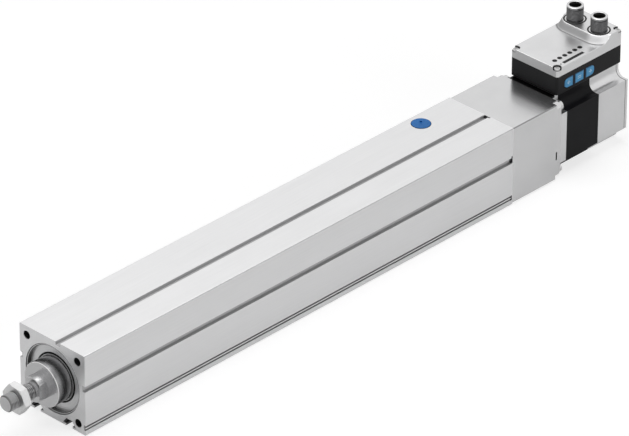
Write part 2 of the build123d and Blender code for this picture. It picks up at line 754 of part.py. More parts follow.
# Stator stack with its pole slots, and the eight coils in them
pole_slot_middle = (pole_slot_inner + pole_slot_outer) / 2
pole_slot_depth = pole_slot_outer - pole_slot_inner
with BuildPart() as stator_stack:
    motor_section(x_stator_rear, x_stator_front)
    turned(x_stator_rear, x_stator_front, rotor_radius + running_gap, mode=Mode.SUBTRACT)
    with BuildSketch(Plane.YZ.offset(x_stator_rear)) as pole_slots:
        with PolarLocations(pole_slot_middle, pole_slot_count):
            Rectangle(pole_slot_depth, pole_slot_width)
    extrude(pole_slots.sketch, amount=stator_length, mode=Mode.SUBTRACT)
    corner_rods(x_stator_rear, x_stator_front, tie_screw_pitch, tie_screw_radius + fit_gap)
stator_stack.part.label = "stator_stack"
export_step(stator_stack.part, "parts/stator_stack.step")

with BuildPart() as stator_coils:
    with BuildSketch(Plane.YZ.offset(x_stator_rear - coil_head_length)) as coil_section:
        with PolarLocations(pole_slot_middle, pole_slot_count):
            Rectangle(pole_slot_depth - 2 * fit_gap, pole_slot_width - 2 * fit_gap)
    extrude(coil_section.sketch, amount=stator_length + 2 * coil_head_length)
stator_coils.part.label = "stator_coils"
export_step(stator_coils.part, "parts/stator_coils.step")

# Rotor of two cups with the magnet's groove between them, on the motor shaft
x_rotor_front = x_stator_front - rotor_end_gap
x_rotor_rear = x_stator_rear + rotor_end_gap
x_rotor_middle = (x_rotor_front + x_rotor_rear) / 2
with BuildPart() as rotor:
    turned(x_rotor_rear, x_rotor_front, rotor_radius, motor_shaft_radius + fit_gap)
    turned(x_rotor_middle - rotor_groove_width / 2, x_rotor_middle + rotor_groove_width / 2,
           rotor_radius + 1, rotor_groove_radius, mode=Mode.SUBTRACT)
rotor.part.label = "rotor"
export_step(rotor.part, "parts/rotor.step")

x_shaft_rear = x_stator_rear - bell_web - shaft_tail
with BuildPart() as motor_shaft:
    turned(x_shaft_rear, x_motor_hub_front, motor_shaft_radius)
motor_shaft.part.label = "motor_shaft"
export_step(motor_shaft.part, "parts/motor_shaft.step")

# Motor bearings, and the balls of all four bearings
motor_bearings = (x_front_bearing, x_stator_rear)
motor_outer_race = motor_bearing_radius - motor_ring_wall
motor_inner_race = motor_shaft_radius + fit_gap + motor_ring_wall
motor_pitch_radius = (motor_outer_race + motor_inner_race) / 2
with BuildPart() as motor_bearing_outer_rings:
    race_rings(motor_bearings, motor_bearing_width, motor_bearing_radius, motor_outer_race)
motor_bearing_outer_rings.part.label = "motor_bearing_outer_rings"
export_step(motor_bearing_outer_rings.part, "parts/motor_bearing_outer_rings.step")

with BuildPart() as motor_bearing_inner_rings:
    race_rings(motor_bearings, motor_bearing_width, motor_inner_race, motor_shaft_radius + fit_gap)
motor_bearing_inner_rings.part.label = "motor_bearing_inner_rings"
export_step(motor_bearing_inner_rings.part, "parts/motor_bearing_inner_rings.step")

with BuildPart() as bearing_balls:
    race_balls(screw_bearings, bearing_width, ball_pitch_radius, bearing_ball_radius,
               bearing_ball_count)
    race_balls(motor_bearings, motor_bearing_width, motor_pitch_radius, motor_ball_radius,
               motor_ball_count)
bearing_balls.part.label = "bearing_balls"
export_step(bearing_balls.part, "parts/bearing_balls.step")

# Rear bell: bearing web, encoder room and the cable slot up through the neck
x_web_rear = x_stator_rear - bell_web
x_magnet_rear = x_shaft_rear - encoder_magnet_length
x_encoder_board = x_magnet_rear - encoder_gap
x_cable_slot = x_encoder_board - board_thickness / 2
with BuildPart() as motor_rear_bell:
    motor_section(x_bell_rear, x_stator_rear)
    turned(x_bell_rear, x_web_rear, encoder_cavity_radius, mode=Mode.SUBTRACT)
    turned(x_stator_rear - coil_room, x_stator_rear, coil_cavity_radius, bearing_hub,
           mode=Mode.SUBTRACT)
    turned(x_stator_rear - motor_bearing_width, x_stator_rear, motor_bearing_radius + fit_gap,
           mode=Mode.SUBTRACT)
    turned(x_web_rear, x_stator_rear, motor_shaft_radius * 2, mode=Mode.SUBTRACT)
    corner_rods(x_bell_rear, x_stator_rear, tie_screw_pitch, tie_screw_radius + fit_gap)
    corner_rods(x_encoder_board, x_web_rear, 2 * encoder_post_offset, encoder_post_radius,
                mode=Mode.ADD)
    with BuildSketch(Plane.XY.offset(encoder_board_width / 2)) as cable_slot:
        with Locations((x_cable_slot, 0)):
            Rectangle(cable_slot_length, cable_slot_width)
    extrude(cable_slot.sketch, amount=z_tub - encoder_board_width / 2, mode=Mode.SUBTRACT)
motor_rear_bell.part.label = "motor_rear_bell"
export_step(motor_rear_bell.part, "parts/motor_rear_bell.step")

with BuildPart() as motor_end_plate:
    motor_section(x_motor_rear, x_bell_rear)
    chamfer(motor_end_plate.faces().sort_by(Axis.X)[0].edges(), end_plate_rear_edge)
    chamfer(motor_end_plate.faces().sort_by(Axis.X)[-1].edges(), end_plate_front_edge)
    corner_rods(x_motor_rear, x_bell_rear, tie_screw_pitch, tie_screw_radius + fit_gap)
    corner_rods(x_motor_rear, x_motor_rear + tie_head_length, tie_screw_pitch,
                tie_head_radius + fit_gap)
motor_end_plate.part.label = "motor_end_plate"
export_step(motor_end_plate.part, "parts/motor_end_plate.step")

with BuildPart() as tie_screws:
    corner_rods(x_motor_rear, x_motor_rear + tie_head_length, tie_screw_pitch, tie_head_radius,
                mode=Mode.ADD)
    corner_rods(x_motor_rear + tie_head_length, x_motor_rear + tie_head_length + tie_screw_length,
                tie_screw_pitch, tie_screw_radius, mode=Mode.ADD)
    with BuildSketch(Plane.YZ.offset(x_motor_rear)) as tie_sockets:
        with GridLocations(tie_screw_pitch, tie_screw_pitch, 2, 2):
            RegularPolygon(tie_screw_radius, 6)
    extrude(tie_sockets.sketch, amount=tie_head_length / 2, mode=Mode.SUBTRACT)
tie_screws.part.label = "tie_screws"
export_step(tie_screws.part, "parts/tie_screws.step")

# Encoder: magnet on the shaft's end, board on the bell's posts, link up to the controller
with BuildPart() as encoder_magnet:
    turned(x_magnet_rear, x_shaft_rear, encoder_magnet_radius)
encoder_magnet.part.label = "encoder_magnet"
export_step(encoder_magnet.part, "parts/encoder_magnet.step")

with BuildPart() as encoder_board:
    with BuildSketch(Plane.YZ.offset(x_encoder_board - board_thickness)) as encoder_outline:
        Rectangle(encoder_board_width, encoder_board_width)
    extrude(encoder_outline.sketch, amount=board_thickness)
encoder_board.part.label = "encoder_board"
export_step(encoder_board.part, "parts/encoder_board.step")

with BuildPart() as board_link:
    with BuildSketch(Plane.XY.offset(encoder_board_width / 2)) as link_outline:
        with Locations((x_cable_slot, 0)):
            Rectangle(link_thickness, link_width)
    extrude(link_outline.sketch, amount=z_board - encoder_board_width / 2)
board_link.part.label = "board_link"
export_step(board_link.part, "parts/board_link.step")

# Controller tub with key windows, screw posts, board posts and the cable opening
x_key_middle = x_box_front - key_middle_setback
z_key = z_tub + key_level
key_places = [(x_key_middle + (1 - i) * key_pitch, z_key) for i in range(3)]
inner_length = box_length - 2 * box_wall
inner_width = box_width - 2 * box_wall
board_posts = (inner_length - 2 * board_post_end, inner_width - 2 * board_post_side)


def box_outline():
    with Locations((x_box_centre, 0)):
        RectangleRounded(box_length, box_width, box_corner)


def box_room(boss_radius, inset=0.0):
    with Locations((x_box_centre, 0)):
        Rectangle(inner_length - 2 * inset, inner_width - 2 * inset)
        with GridLocations(screw_span_x, screw_span_y, 2, 2):
            Circle(boss_radius, mode=Mode.SUBTRACT)


def screw_places(radius):
    with Locations((x_box_centre, 0)):
        with GridLocations(screw_span_x, screw_span_y, 2, 2):
            Circle(radius)


def key_outline(place, shape, grow=0.0):
    """One key's face on a side plane: round at its front, square, or round at its rear."""
    with Locations(place):
        Rectangle(key_length + 2 * grow, key_height + 2 * grow)
        if shape:
            round_radius = key_height / 2 + grow
            with Locations((shape * (key_length / 2 + grow - round_radius / 2), 0)):
                Rectangle(round_radius, 2 * round_radius, mode=Mode.SUBTRACT)
            with Locations((shape * (key_length / 2 + grow - round_radius), 0)):
                Circle(round_radius)


key_shapes = (1, 0, -1)
with BuildPart() as controller_tub:
    upright(z_tub, z_split, box_outline)
    chamfer(controller_tub.faces().sort_by(Axis.Z)[0].edges(), tub_edge)
    upright(z_floor, z_split, lambda: box_room(cover_boss_radius), mode=Mode.SUBTRACT)
    upright(z_floor, z_split, lambda: screw_places(cover_screw_radius + fit_gap),
            mode=Mode.SUBTRACT)
    with BuildSketch(Plane.XY.offset(z_floor)) as posts:
        with Locations((x_box_centre, -key_board_gap)):
            with GridLocations(*board_posts, 2, 2):
                Circle(encoder_post_radius)
    extrude(posts.sketch, amount=board_standoff)
    with BuildSketch(Plane.XY.offset(z_tub)) as floor_opening:
        with Locations((x_cable_slot, 0)):
            Rectangle(cable_slot_length, cable_slot_width)
    extrude(floor_opening.sketch, amount=box_floor, mode=Mode.SUBTRACT)
    with BuildSketch(Plane.XZ.offset(-y_key_face)) as key_windows:
        for place, shape in zip(key_places, key_shapes):
            key_outline(place, shape, key_gap)
    extrude(key_windows.sketch, amount=box_wall, mode=Mode.SUBTRACT)
controller_tub.part.label = "controller_tub"
export_step(controller_tub.part, "parts/controller_tub.step")

# Three keys in their windows, each with a foot that is wider than nothing but its face
for name, place, shape in zip(("key_front", "key_middle", "key_rear"), key_places, key_shapes):
    with BuildPart() as key:
        with BuildSketch(Plane.XZ.offset(-y_key_face - key_stand)) as key_face:
            key_outline(place, shape)
        extrude(key_face.sketch, amount=key_thickness)
        chamfer(key.faces().sort_by(Axis.Y)[-1].edges(), 0.25)
    key.part.label = name
    export_step(key.part, f"parts/{name}.step")

# Key board behind the keys, with a snap dome under each
y_key_rear = y_key_face + key_stand - key_thickness
y_dome_top = y_key_rear - key_travel - 0.1
y_key_board = y_dome_top - dome_height
with BuildPart() as key_board:
    with BuildSketch(Plane.XY.offset(z_floor)) as key_board_outline:
        with Locations((x_key_middle, y_key_board - key_board_thickness / 2)):
            Rectangle(2 * (key_pitch + dome_radius) + 1, key_board_thickness)
    extrude(key_board_outline.sketch, amount=key_board_height)
key_board.part.label = "key_board"
export_step(key_board.part, "parts/key_board.step")

with BuildPart() as key_domes:
    with BuildSketch(Plane.XZ.offset(-y_key_board)) as dome_discs:
        with Locations(*key_places):
            Circle(dome_radius)
    extrude(dome_discs.sketch, amount=-dome_height)
key_domes.part.label = "key_domes"
export_step(key_domes.part, "parts/key_domes.step")

# Controller board with its larger components
board_side = y_key_board - key_board_thickness - key_board_gap
board_width = inner_width / 2 - 1 + board_side
with BuildPart() as controller_board:
    with BuildSketch(Plane.XY.offset(z_board)) as board_outline:
        with Locations((x_box_centre, board_side - board_width / 2)):
            Rectangle(inner_length - 2, board_width)
        with Locations((x_box_centre, 0)):
            with GridLocations(screw_span_x, screw_span_y, 2, 2):
                Circle(cover_boss_radius + 0.5, mode=Mode.SUBTRACT)
    extrude(board_outline.sketch, amount=board_thickness)
controller_board.part.label = "controller_board"
export_step(controller_board.part, "parts/controller_board.step")

z_components = z_board + board_thickness
with BuildPart() as board_components:
    for x_step, y_step, length, width, height in (
            (1.5, -0.75, 1, 1, 0.17), (2.8, -0.75, 0.8, 0.8, 0.13),
            (1.7, 0.6, 0.75, 0.5, 0.15), (3.8, -0.8, 0.65, 0.65, 0.4)):
        with BuildSketch(Plane.XY.offset(z_components)) as chip:
            with Locations((x_box_front - x_step * chip_width, y_step * chip_width)):
                Rectangle(length * chip_width, width * chip_width)
        extrude(chip.sketch, amount=height * chip_width)
    with BuildSketch(Plane.XY.offset(z_components)) as capacitors:
        for i in range(2):
            x_capacitor = x_box_front - capacitor_setback - i * capacitor_pitch
            with Locations((x_capacitor, capacitor_side)):
                Circle(capacitor_radius)
    extrude(capacitors.sketch, amount=capacitor_height)
board_components.part.label = "board_components"
export_step(board_components.part, "parts/board_components.step")

# Gasket and die-cast cover: a gently rising top and a raised platform, rounded about the
# connectors in front
with BuildPart() as cover_gasket:
    upright(z_split, z_cover, lambda: box_outline())
    upright(z_split, z_cover, lambda: box_room(cover_boss_radius), mode=Mode.SUBTRACT)
    upright(z_split, z_cover, lambda: screw_places(cover_screw_radius + fit_gap),
            mode=Mode.SUBTRACT)
cover_gasket.part.label = "cover_gasket"
export_step(cover_gasket.part, "parts/cover_gasket.step")

x_platform = x_box_rear + connector_rear_inset
y_connector = box_width / 2 - connector_side_inset
connector_places = [(x_platform, -y_connector), (x_platform, y_connector)]
y_screw_row = box_width / 2 - cover_screw_inset
y_lamp = box_width / 2 - lamp_inset
y_display = box_width / 2 - display_inset


def cover_top(x):
    """Height of the rising top at a station ahead of the platform."""
    rise = (z_cover_ramp - z_cover_front) / cover_ramp_length
    return z_cover_front + (x_box_front - x) * rise


with BuildPart() as controller_cover:
    with BuildSketch(Plane.XZ.offset(-box_width / 2)) as cover_side:
        Polygon((x_box_front, z_cover), (x_box_front, z_cover_front),
                (x_box_rear, cover_top(x_box_rear)), (x_box_rear, z_cover), align=None)
    extrude(cover_side.sketch, amount=box_width)
    with BuildSketch(Plane.XY.offset(z_platform)) as platform:
        with Locations((x_platform, 0)):
            SlotCenterToCenter(2 * y_connector, 2 * lobe_radius, rotation=90)
        with Locations(((x_platform + x_box_rear) / 2 - box_corner, 0)):
            Rectangle(connector_rear_inset + 2 * box_corner, box_width + 2 * box_corner)
    extrude(platform.sketch, amount=cover_top(x_platform) - z_platform, taper=-lobe_slope)
    upright(z_cover, z_platform, box_outline, mode=Mode.INTERSECT)
    upright(z_cover, z_cover_front - cover_wall, lambda: box_room(cover_boss_radius),
            mode=Mode.SUBTRACT)
    with BuildSketch(Plane.XY.offset(z_cover)) as platform_room:
        with Locations((x_platform, 0)):
            SlotCenterToCenter(2 * y_connector, 2 * (lobe_radius - cover_wall), rotation=90)
        with Locations(((x_platform + x_box_rear) / 2, 0)):
            Rectangle(connector_rear_inset - 2 * box_wall, inner_width)
        with Locations((x_box_centre, 0)):
            with GridLocations(screw_span_x, screw_span_y, 2, 2):
                Circle(cover_boss_radius, mode=Mode.SUBTRACT)
    extrude(platform_room.sketch, amount=platform_height - cover_wall, mode=Mode.SUBTRACT)
    upright(z_cover, z_platform, lambda: screw_places(cover_screw_radius + fit_gap),
            mode=Mode.SUBTRACT)
    for x_screw, z_top in ((x_box_front - cover_screw_inset, z_cover_front),
                           (x_box_rear + cover_screw_inset, z_platform)):
        with BuildSketch(Plane.XY.offset(z_top - cover_recess_depth)) as recesses:
            with Locations((x_screw, y_screw_row), (x_screw, -y_screw_row)):
                Circle(cover_recess_radius)
        extrude(recesses.sketch, amount=2 * cover_recess_depth, mode=Mode.SUBTRACT)
    with BuildSketch(Plane.XY.offset(z_cover)) as lamp_holes:
        for i in range(lamp_count):
            with Locations((x_box_front - lamp_first - i * lamp_pitch, y_lamp)):
                Circle(lamp_radius + fit_gap)
        with Locations((x_box_front - display_start - display_length / 2, y_display)):
            SlotOverall(display_length + 2 * fit_gap, display_width + 2 * fit_gap)
        with Locations((x_box_front - display_dot_setback, y_display)):
            Circle(display_dot_radius + fit_gap)
    extrude(lamp_holes.sketch, amount=cover_ramp_height + 1, mode=Mode.SUBTRACT)
    with BuildSketch(Plane.XY.offset(z_cover)) as connector_holes:
        with Locations(*connector_places):
            Circle(connector_radius + running_gap)
    extrude(connector_holes.sketch, amount=platform_height, mode=Mode.SUBTRACT)
    with BuildSketch(Plane.XY.offset(z_platform - connector_sink)) as connector_seats:
        with Locations(*connector_places):
            Circle(connector_flange_radius + connector_ring_wall + 2 * fit_gap)
    extrude(connector_seats.sketch, amount=connector_sink, mode=Mode.SUBTRACT)
controller_cover.part.label = "controller_cover"
export_step(controller_cover.part, "parts/controller_cover.step")

# Cover screws, short ones in front and the same screw lower in the platform's recesses
with BuildPart() as cover_screws:
    for x_screw, z_top in ((x_box_front - cover_screw_inset, z_cover_front),
                           (x_box_rear + cover_screw_inset, z_platform)):
        z_head = z_top - cover_recess_depth
        shank_end = z_floor + 1
        with BuildSketch(Plane.XY.offset(z_head)) as heads:
            with Locations((x_screw, y_screw_row), (x_screw, -y_screw_row)):
                Circle(cover_head_radius)
        extrude(heads.sketch, amount=cover_head_length)
        with BuildSketch(Plane.XY.offset(shank_end)) as shanks:
            with Locations((x_screw, y_screw_row), (x_screw, -y_screw_row)):
                Circle(cover_screw_radius)
        extrude(shanks.sketch, amount=z_head - shank_end)
        with BuildSketch(Plane.XY.offset(z_head + cover_head_length)) as drives:
            with Locations((x_screw, y_screw_row), (x_screw, -y_screw_row)):
                RegularPolygon(cover_screw_radius * 0.9, 6)
        extrude(drives.sketch, amount=-cover_head_length / 2, mode=Mode.SUBTRACT)
cover_screws.part.label = "cover_screws"
export_step(cover_screws.part, "parts/cover_screws.step")

# Lamp lenses and the display's window and dot, standing just proud of the rising top
with BuildPart() as lamp_lenses:
    for i in range(lamp_count):
        x_lamp = x_box_front - lamp_first - i * lamp_pitch
        z_lamp = cover_top(x_lamp) + lamp_stand
        with BuildSketch(Plane.XY.offset(z_lamp - lamp_depth)) as lens:
            with Locations((x_lamp, y_lamp)):
                Circle(lamp_radius)
        extrude(lens.sketch, amount=lamp_depth)
lamp_lenses.part.label = "lamp_lenses"
export_step(lamp_lenses.part, "parts/lamp_lenses.step")

x_display = x_box_front - display_start - display_length / 2
x_dot = x_box_front - display_dot_setback
with BuildPart() as display_window:
    with BuildSketch(Plane.XY.offset(z_cover)) as window_outline:
        with Locations((x_display, y_display)):
            SlotOverall(display_length, display_width)
        with Locations((x_dot, y_display)):
            Circle(display_dot_radius)
    extrude(window_outline.sketch, amount=cover_ramp_height)
    rise_angle = (z_cover_ramp - z_cover_front) / cover_ramp_length
    with BuildSketch(Plane.XZ.offset(-box_width / 2)) as above_top:
        Polygon((x_box_front, cover_top(x_box_front)), (x_ramp_end, cover_top(x_ramp_end)),
                (x_ramp_end, z_platform), (x_box_front, z_platform), align=None)
    extrude(above_top.sketch, amount=box_width, mode=Mode.SUBTRACT)
display_window.part.label = "display_window"
export_step(display_window.part, "parts/display_window.step")

# Two M12 connectors: shell with sunk flange, black insert, contacts, and a sealing ring
z_flange = z_platform - connector_sink
z_connector_top = z_platform + connector_height
for name, place in zip(("power", "signal"), connector_places):
    with BuildPart() as shell:
        with BuildSketch(Plane.XY.offset(z_flange - connector_tail)) as shell_outline:
            with Locations(place):
                Circle(connector_radius)
        extrude(shell_outline.sketch, amount=z_connector_top - z_flange + connector_tail)
        with BuildSketch(Plane.XY.offset(z_flange)) as shell_flange:
            with Locations(place):
                Circle(connector_flange_radius)
        extrude(shell_flange.sketch, amount=connector_sink)
        with BuildSketch(Plane.XY.offset(z_flange - connector_tail)) as shell_bore:
            with Locations(place):
                Circle(connector_bore)
        extrude(shell_bore.sketch, amount=z_connector_top - z_flange + connector_tail,
                mode=Mode.SUBTRACT)
        rim = shell.faces().sort_by(Axis.Z)[-1].edges().sort_by(SortBy.LENGTH)[-1]
        chamfer(rim, connector_rim)
    shell.part.label = f"{name}_connector_shell"
    export_step(shell.part, f"parts/{name}_connector_shell.step")

z_insert = z_connector_top - insert_depth
z_tail = z_flange - connector_tail
with BuildPart() as connector_inserts:
    with BuildSketch(Plane.XY.offset(z_tail)) as insert_outline:
        with Locations(*connector_places):
            Circle(connector_bore - fit_gap)
            with PolarLocations(contact_circle, 4):
                Circle(contact_radius + fit_gap, mode=Mode.SUBTRACT)
    extrude(insert_outline.sketch, amount=z_insert - z_tail)
connector_inserts.part.label = "connector_inserts"
export_step(connector_inserts.part, "parts/connector_inserts.step")

with BuildPart() as connector_contacts:
    with BuildSketch(Plane.XY.offset(z_tail)) as contact_outline:
        with Locations(*connector_places):
            with PolarLocations(contact_circle, 4):
                Circle(contact_radius)
    extrude(contact_outline.sketch, amount=z_insert + contact_length - z_tail)
connector_contacts.part.label = "connector_contacts"
export_step(connector_contacts.part, "parts/connector_contacts.step")

with BuildPart() as connector_seals:
    with BuildSketch(Plane.XY.offset(z_flange)) as seal_outline:
        with Locations(*connector_places):
            Circle(connector_flange_radius + connector_ring_wall + fit_gap)
            Circle(connector_flange_radius + fit_gap, mode=Mode.SUBTRACT)
    extrude(seal_outline.sketch, amount=connector_sink - 0.1)
connector_seals.part.label = "connector_seals"
export_step(connector_seals.part, "parts/connector_seals.step")
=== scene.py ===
import json
import math
import bpy
import numpy as np
from mathutils import Matrix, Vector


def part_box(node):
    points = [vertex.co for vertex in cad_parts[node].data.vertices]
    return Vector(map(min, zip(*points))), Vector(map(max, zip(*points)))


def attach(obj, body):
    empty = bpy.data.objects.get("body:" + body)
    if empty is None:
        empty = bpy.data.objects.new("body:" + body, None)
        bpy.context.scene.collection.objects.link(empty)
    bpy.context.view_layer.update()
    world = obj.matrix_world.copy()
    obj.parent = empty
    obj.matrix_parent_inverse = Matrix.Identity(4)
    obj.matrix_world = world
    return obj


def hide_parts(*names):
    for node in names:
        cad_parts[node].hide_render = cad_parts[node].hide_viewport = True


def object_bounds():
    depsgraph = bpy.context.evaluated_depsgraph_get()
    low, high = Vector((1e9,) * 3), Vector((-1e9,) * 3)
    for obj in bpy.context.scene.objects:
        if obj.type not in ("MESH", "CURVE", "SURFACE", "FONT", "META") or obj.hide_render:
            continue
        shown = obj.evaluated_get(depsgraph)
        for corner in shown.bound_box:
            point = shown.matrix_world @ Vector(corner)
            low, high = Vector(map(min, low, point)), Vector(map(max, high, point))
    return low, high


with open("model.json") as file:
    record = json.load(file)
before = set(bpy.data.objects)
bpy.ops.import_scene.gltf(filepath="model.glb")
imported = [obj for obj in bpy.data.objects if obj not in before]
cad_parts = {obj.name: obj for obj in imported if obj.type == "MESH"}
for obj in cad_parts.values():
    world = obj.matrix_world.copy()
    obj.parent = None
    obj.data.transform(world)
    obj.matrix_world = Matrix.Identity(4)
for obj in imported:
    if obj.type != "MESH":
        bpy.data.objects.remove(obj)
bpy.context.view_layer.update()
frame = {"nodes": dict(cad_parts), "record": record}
nodes = frame["nodes"]
print("frame loaded:", len(nodes), "solids")


class Wire:
    # a socket that can be used in plain arithmetic
    def __init__(self, graph, socket):
        self.graph = graph
        self.socket = socket

    def math(self, operation, *others):
        return self.graph.node("ShaderNodeMath", {"operation": operation}, [self, *others])

    def __add__(self, other): return self.math("ADD", other)
    def __radd__(self, other): return self.math("ADD", other)
    def __mul__(self, other): return self.math("MULTIPLY", other)
    def __rmul__(self, other): return self.math("MULTIPLY", other)
    def __sub__(self, other): return self.math("SUBTRACT", other)
    def __rsub__(self, other): return self.graph.node("ShaderNodeMath", {"operation": "SUBTRACT"}, [other, self])
    def __truediv__(self, other): return self.math("DIVIDE", other)

    def rise(self, low, high):  # 0 below low, 1 above high
        return self.graph.node("ShaderNodeMapRange", {"clamp": True}, [self, low, high, 0.0, 1.0])

    def fall(self, low, high):  # 1 below low, 0 above high
        return 1 - self.rise(low, high)

    def within(self, low, high, soft):  # 1 between low and high, with a soft edge
        return self.rise(low - soft, low + soft) * self.fall(high - soft, high + soft)


class Graph:
    # a node tree, with one method that adds any node
    def __init__(self, tree):
        self.tree = tree

    def node(self, kind, settings=None, inputs=(), output=0):
        made = self.tree.nodes.new(kind)
        for name, value in (settings or {}).items():
            setattr(made, name, value)
        pairs = inputs.items() if isinstance(inputs, dict) else enumerate(inputs)
        for key, value in pairs:
            if isinstance(value, Wire):
                self.tree.links.new(value.socket, made.inputs[key])
            else:
                made.inputs[key].default_value = value
        return Wire(self, made.outputs[output])

    def show(self, wire, outputNode):
        self.tree.links.new(wire.socket, self.tree.nodes[outputNode].inputs["Surface"])


class Finish(Graph):
    # one material: its shader, and the coordinates that its patterns follow, in metres from the rod's axis
    def __init__(self, name, base, roughness, metallic=0.0, gloss=0.5):
        self.material = bpy.data.materials.new(name)
        self.material.use_nodes = True
        super().__init__(self.material.node_tree)
        self.shader = self.tree.nodes["Principled BSDF"]
        self.base = (*base, 1.0)
        self.material.diffuse_color = self.base
        fixed = {"Base Color": self.base, "Roughness": roughness, "Metallic": metallic, "Specular IOR Level": gloss}
        for socketName, value in fixed.items():
            self.shader.inputs[socketName].default_value = value
        self.place = self.node("ShaderNodeTexCoord", output="Object")
        split = self.node("ShaderNodeSeparateXYZ", inputs=[self.place]).socket.node
        self.x, self.y, self.z = (Wire(self, out) for out in split.outputs)

    def noise(self, scale, detail=2.0, stretch=(1.0, 1.0, 1.0)):  # scale in cells per metre
        spread = self.node("ShaderNodeMapping", {}, {"Vector": self.place, "Scale": stretch})
        return self.node("ShaderNodeTexNoise", {}, {"Vector": spread, "Scale": scale, "Detail": detail})

    def mix(self, mask, first, second):  # sockets 0, 6 and 7 are the factor and the two colours
        return self.node("ShaderNodeMix", {"data_type": "RGBA"}, {0: mask, 6: first, 7: second}, output=2)

    def vary(self, mask, amount):  # the base colour, darker and lighter by amount
        dark, light = [tuple(min(1.0, c * share) for c in self.base[:3]) + (1.0,)
                       for share in (1 - amount, 1 + amount)]
        return self.mix(mask, dark, light)

    def feed(self, socketName, wire):
        self.tree.links.new(wire.socket, self.shader.inputs[socketName])

    def relief(self, height, distance):
        bump = {"Height": height, "Distance": distance, "Strength": 1.0}
        self.feed("Normal", self.node("ShaderNodeBump", {}, bump))

    def paint(self, mask, colour):  # another colour where the mask is 1, over the finish as it is
        below = Wire(self, self.shader.inputs["Base Color"].links[0].from_socket)
        self.feed("Base Color", self.mix(mask, below, colour))

    def distance(self, a, b, centre=(0.0, 0.0)):  # distance from a line, in two coordinates
        return ((a - centre[0]) * (a - centre[0]) + (b - centre[1]) * (b - centre[1])).math("SQRT")


def strongest(masks):
    # the highest of several masks at each point
    top = masks[0]
    for mask in masks[1:]:
        top = top.math("MAXIMUM", mask)
    return top


def middleOf(node):
    low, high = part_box(node)
    return [(a + b) / 2 for a, b in zip(low, high)]


# how each family mixes its patterns: scales in cells per metre, shares of the colour mask, and how far roughness moves
satinMixture = {"lineDetail": 4.0, "clouds": 28.0, "specks": 2600.0, "speckDetail": 1.0, "lineShare": 0.55,
                "cloudShare": 0.25, "speckShare": 0.2, "span": (0.3, 0.7), "polish": 0.12, "speckDepth": 0.3}
castMixture = {"detail": 3.0, "clouds": 60.0, "share": 0.5, "span": (0.35, 0.65), "polish": 0.10}
turnedMixture = {"detail": 3.0, "clouds": 70.0, "share": 0.6, "span": (0.35, 0.65), "polish": 0.14}
plasticMixture = {"detail": 2.0, "clouds": 55.0, "share": 0.4, "span": (0.35, 0.65), "polish": 0.10}


def dress(made, look, fine, mixture):
    # colour, roughness and relief from a fine pattern over broad clouds
    clouds = made.noise(mixture["clouds"])
    mask = (fine * mixture["share"] + clouds * (1 - mixture["share"])).rise(*mixture["span"])
    made.feed("Base Color", made.vary(mask, look["contrast"]))
    made.feed("Roughness", look["roughness"] - mixture["polish"] / 2 + fine * mixture["polish"])
    made.relief(fine, look["depth"])
    return made


def satinMetal(name, look):
    # rolled or extruded metal: long fine lines along one axis, over broad soft clouds
    made = Finish(name, look["colour"], look["roughness"], look["metallic"])
    mixture = satinMixture
    lines = made.noise(look["lineScale"], mixture["lineDetail"], look["stretch"])
    clouds = made.noise(mixture["clouds"])
    specks = made.noise(mixture["specks"], mixture["speckDetail"])
    mask = lines * mixture["lineShare"] + clouds * mixture["cloudShare"] + specks * mixture["speckShare"]
    made.feed("Base Color", made.vary(mask.rise(*mixture["span"]), look["contrast"]))
    made.feed("Roughness", look["roughness"] - mixture["polish"] / 2 + lines * mixture["polish"])
    made.relief(lines * (1 - mixture["speckDepth"]) + specks * mixture["speckDepth"], look["depth"])
    return made


def castMetal(name, look):
    # blasted or painted casting: an even fine grain with a few broader waves
    made = Finish(name, look["colour"], look["roughness"], look["metallic"], look.get("gloss", 0.5))
    return dress(made, look, made.noise(look["grainScale"], castMixture["detail"]), castMixture)


def turnedMetal(name, look):
    # lathe marks: fine rings about the rod's axis on end faces, and along it on round walls
    made = Finish(name, look["colour"], look["roughness"], look["metallic"])
    across = made.node("ShaderNodeCombineXYZ", {}, [made.distance(made.y, made.z), made.x, 0.0])
    rings = made.node("ShaderNodeTexNoise", {}, {"Vector": across, "Scale": look["ringScale"],
                                                 "Detail": turnedMixture["detail"]})
    return dress(made, look, rings, turnedMixture)


def mouldedPlastic(name, look):
    # an even fine grain, less shiny than metal
    made = Finish(name, look["colour"], look["roughness"], 0.0, look.get("gloss", 0.3))
    return dress(made, look, made.noise(look["grainScale"], plasticMixture["detail"]), plasticMixture)


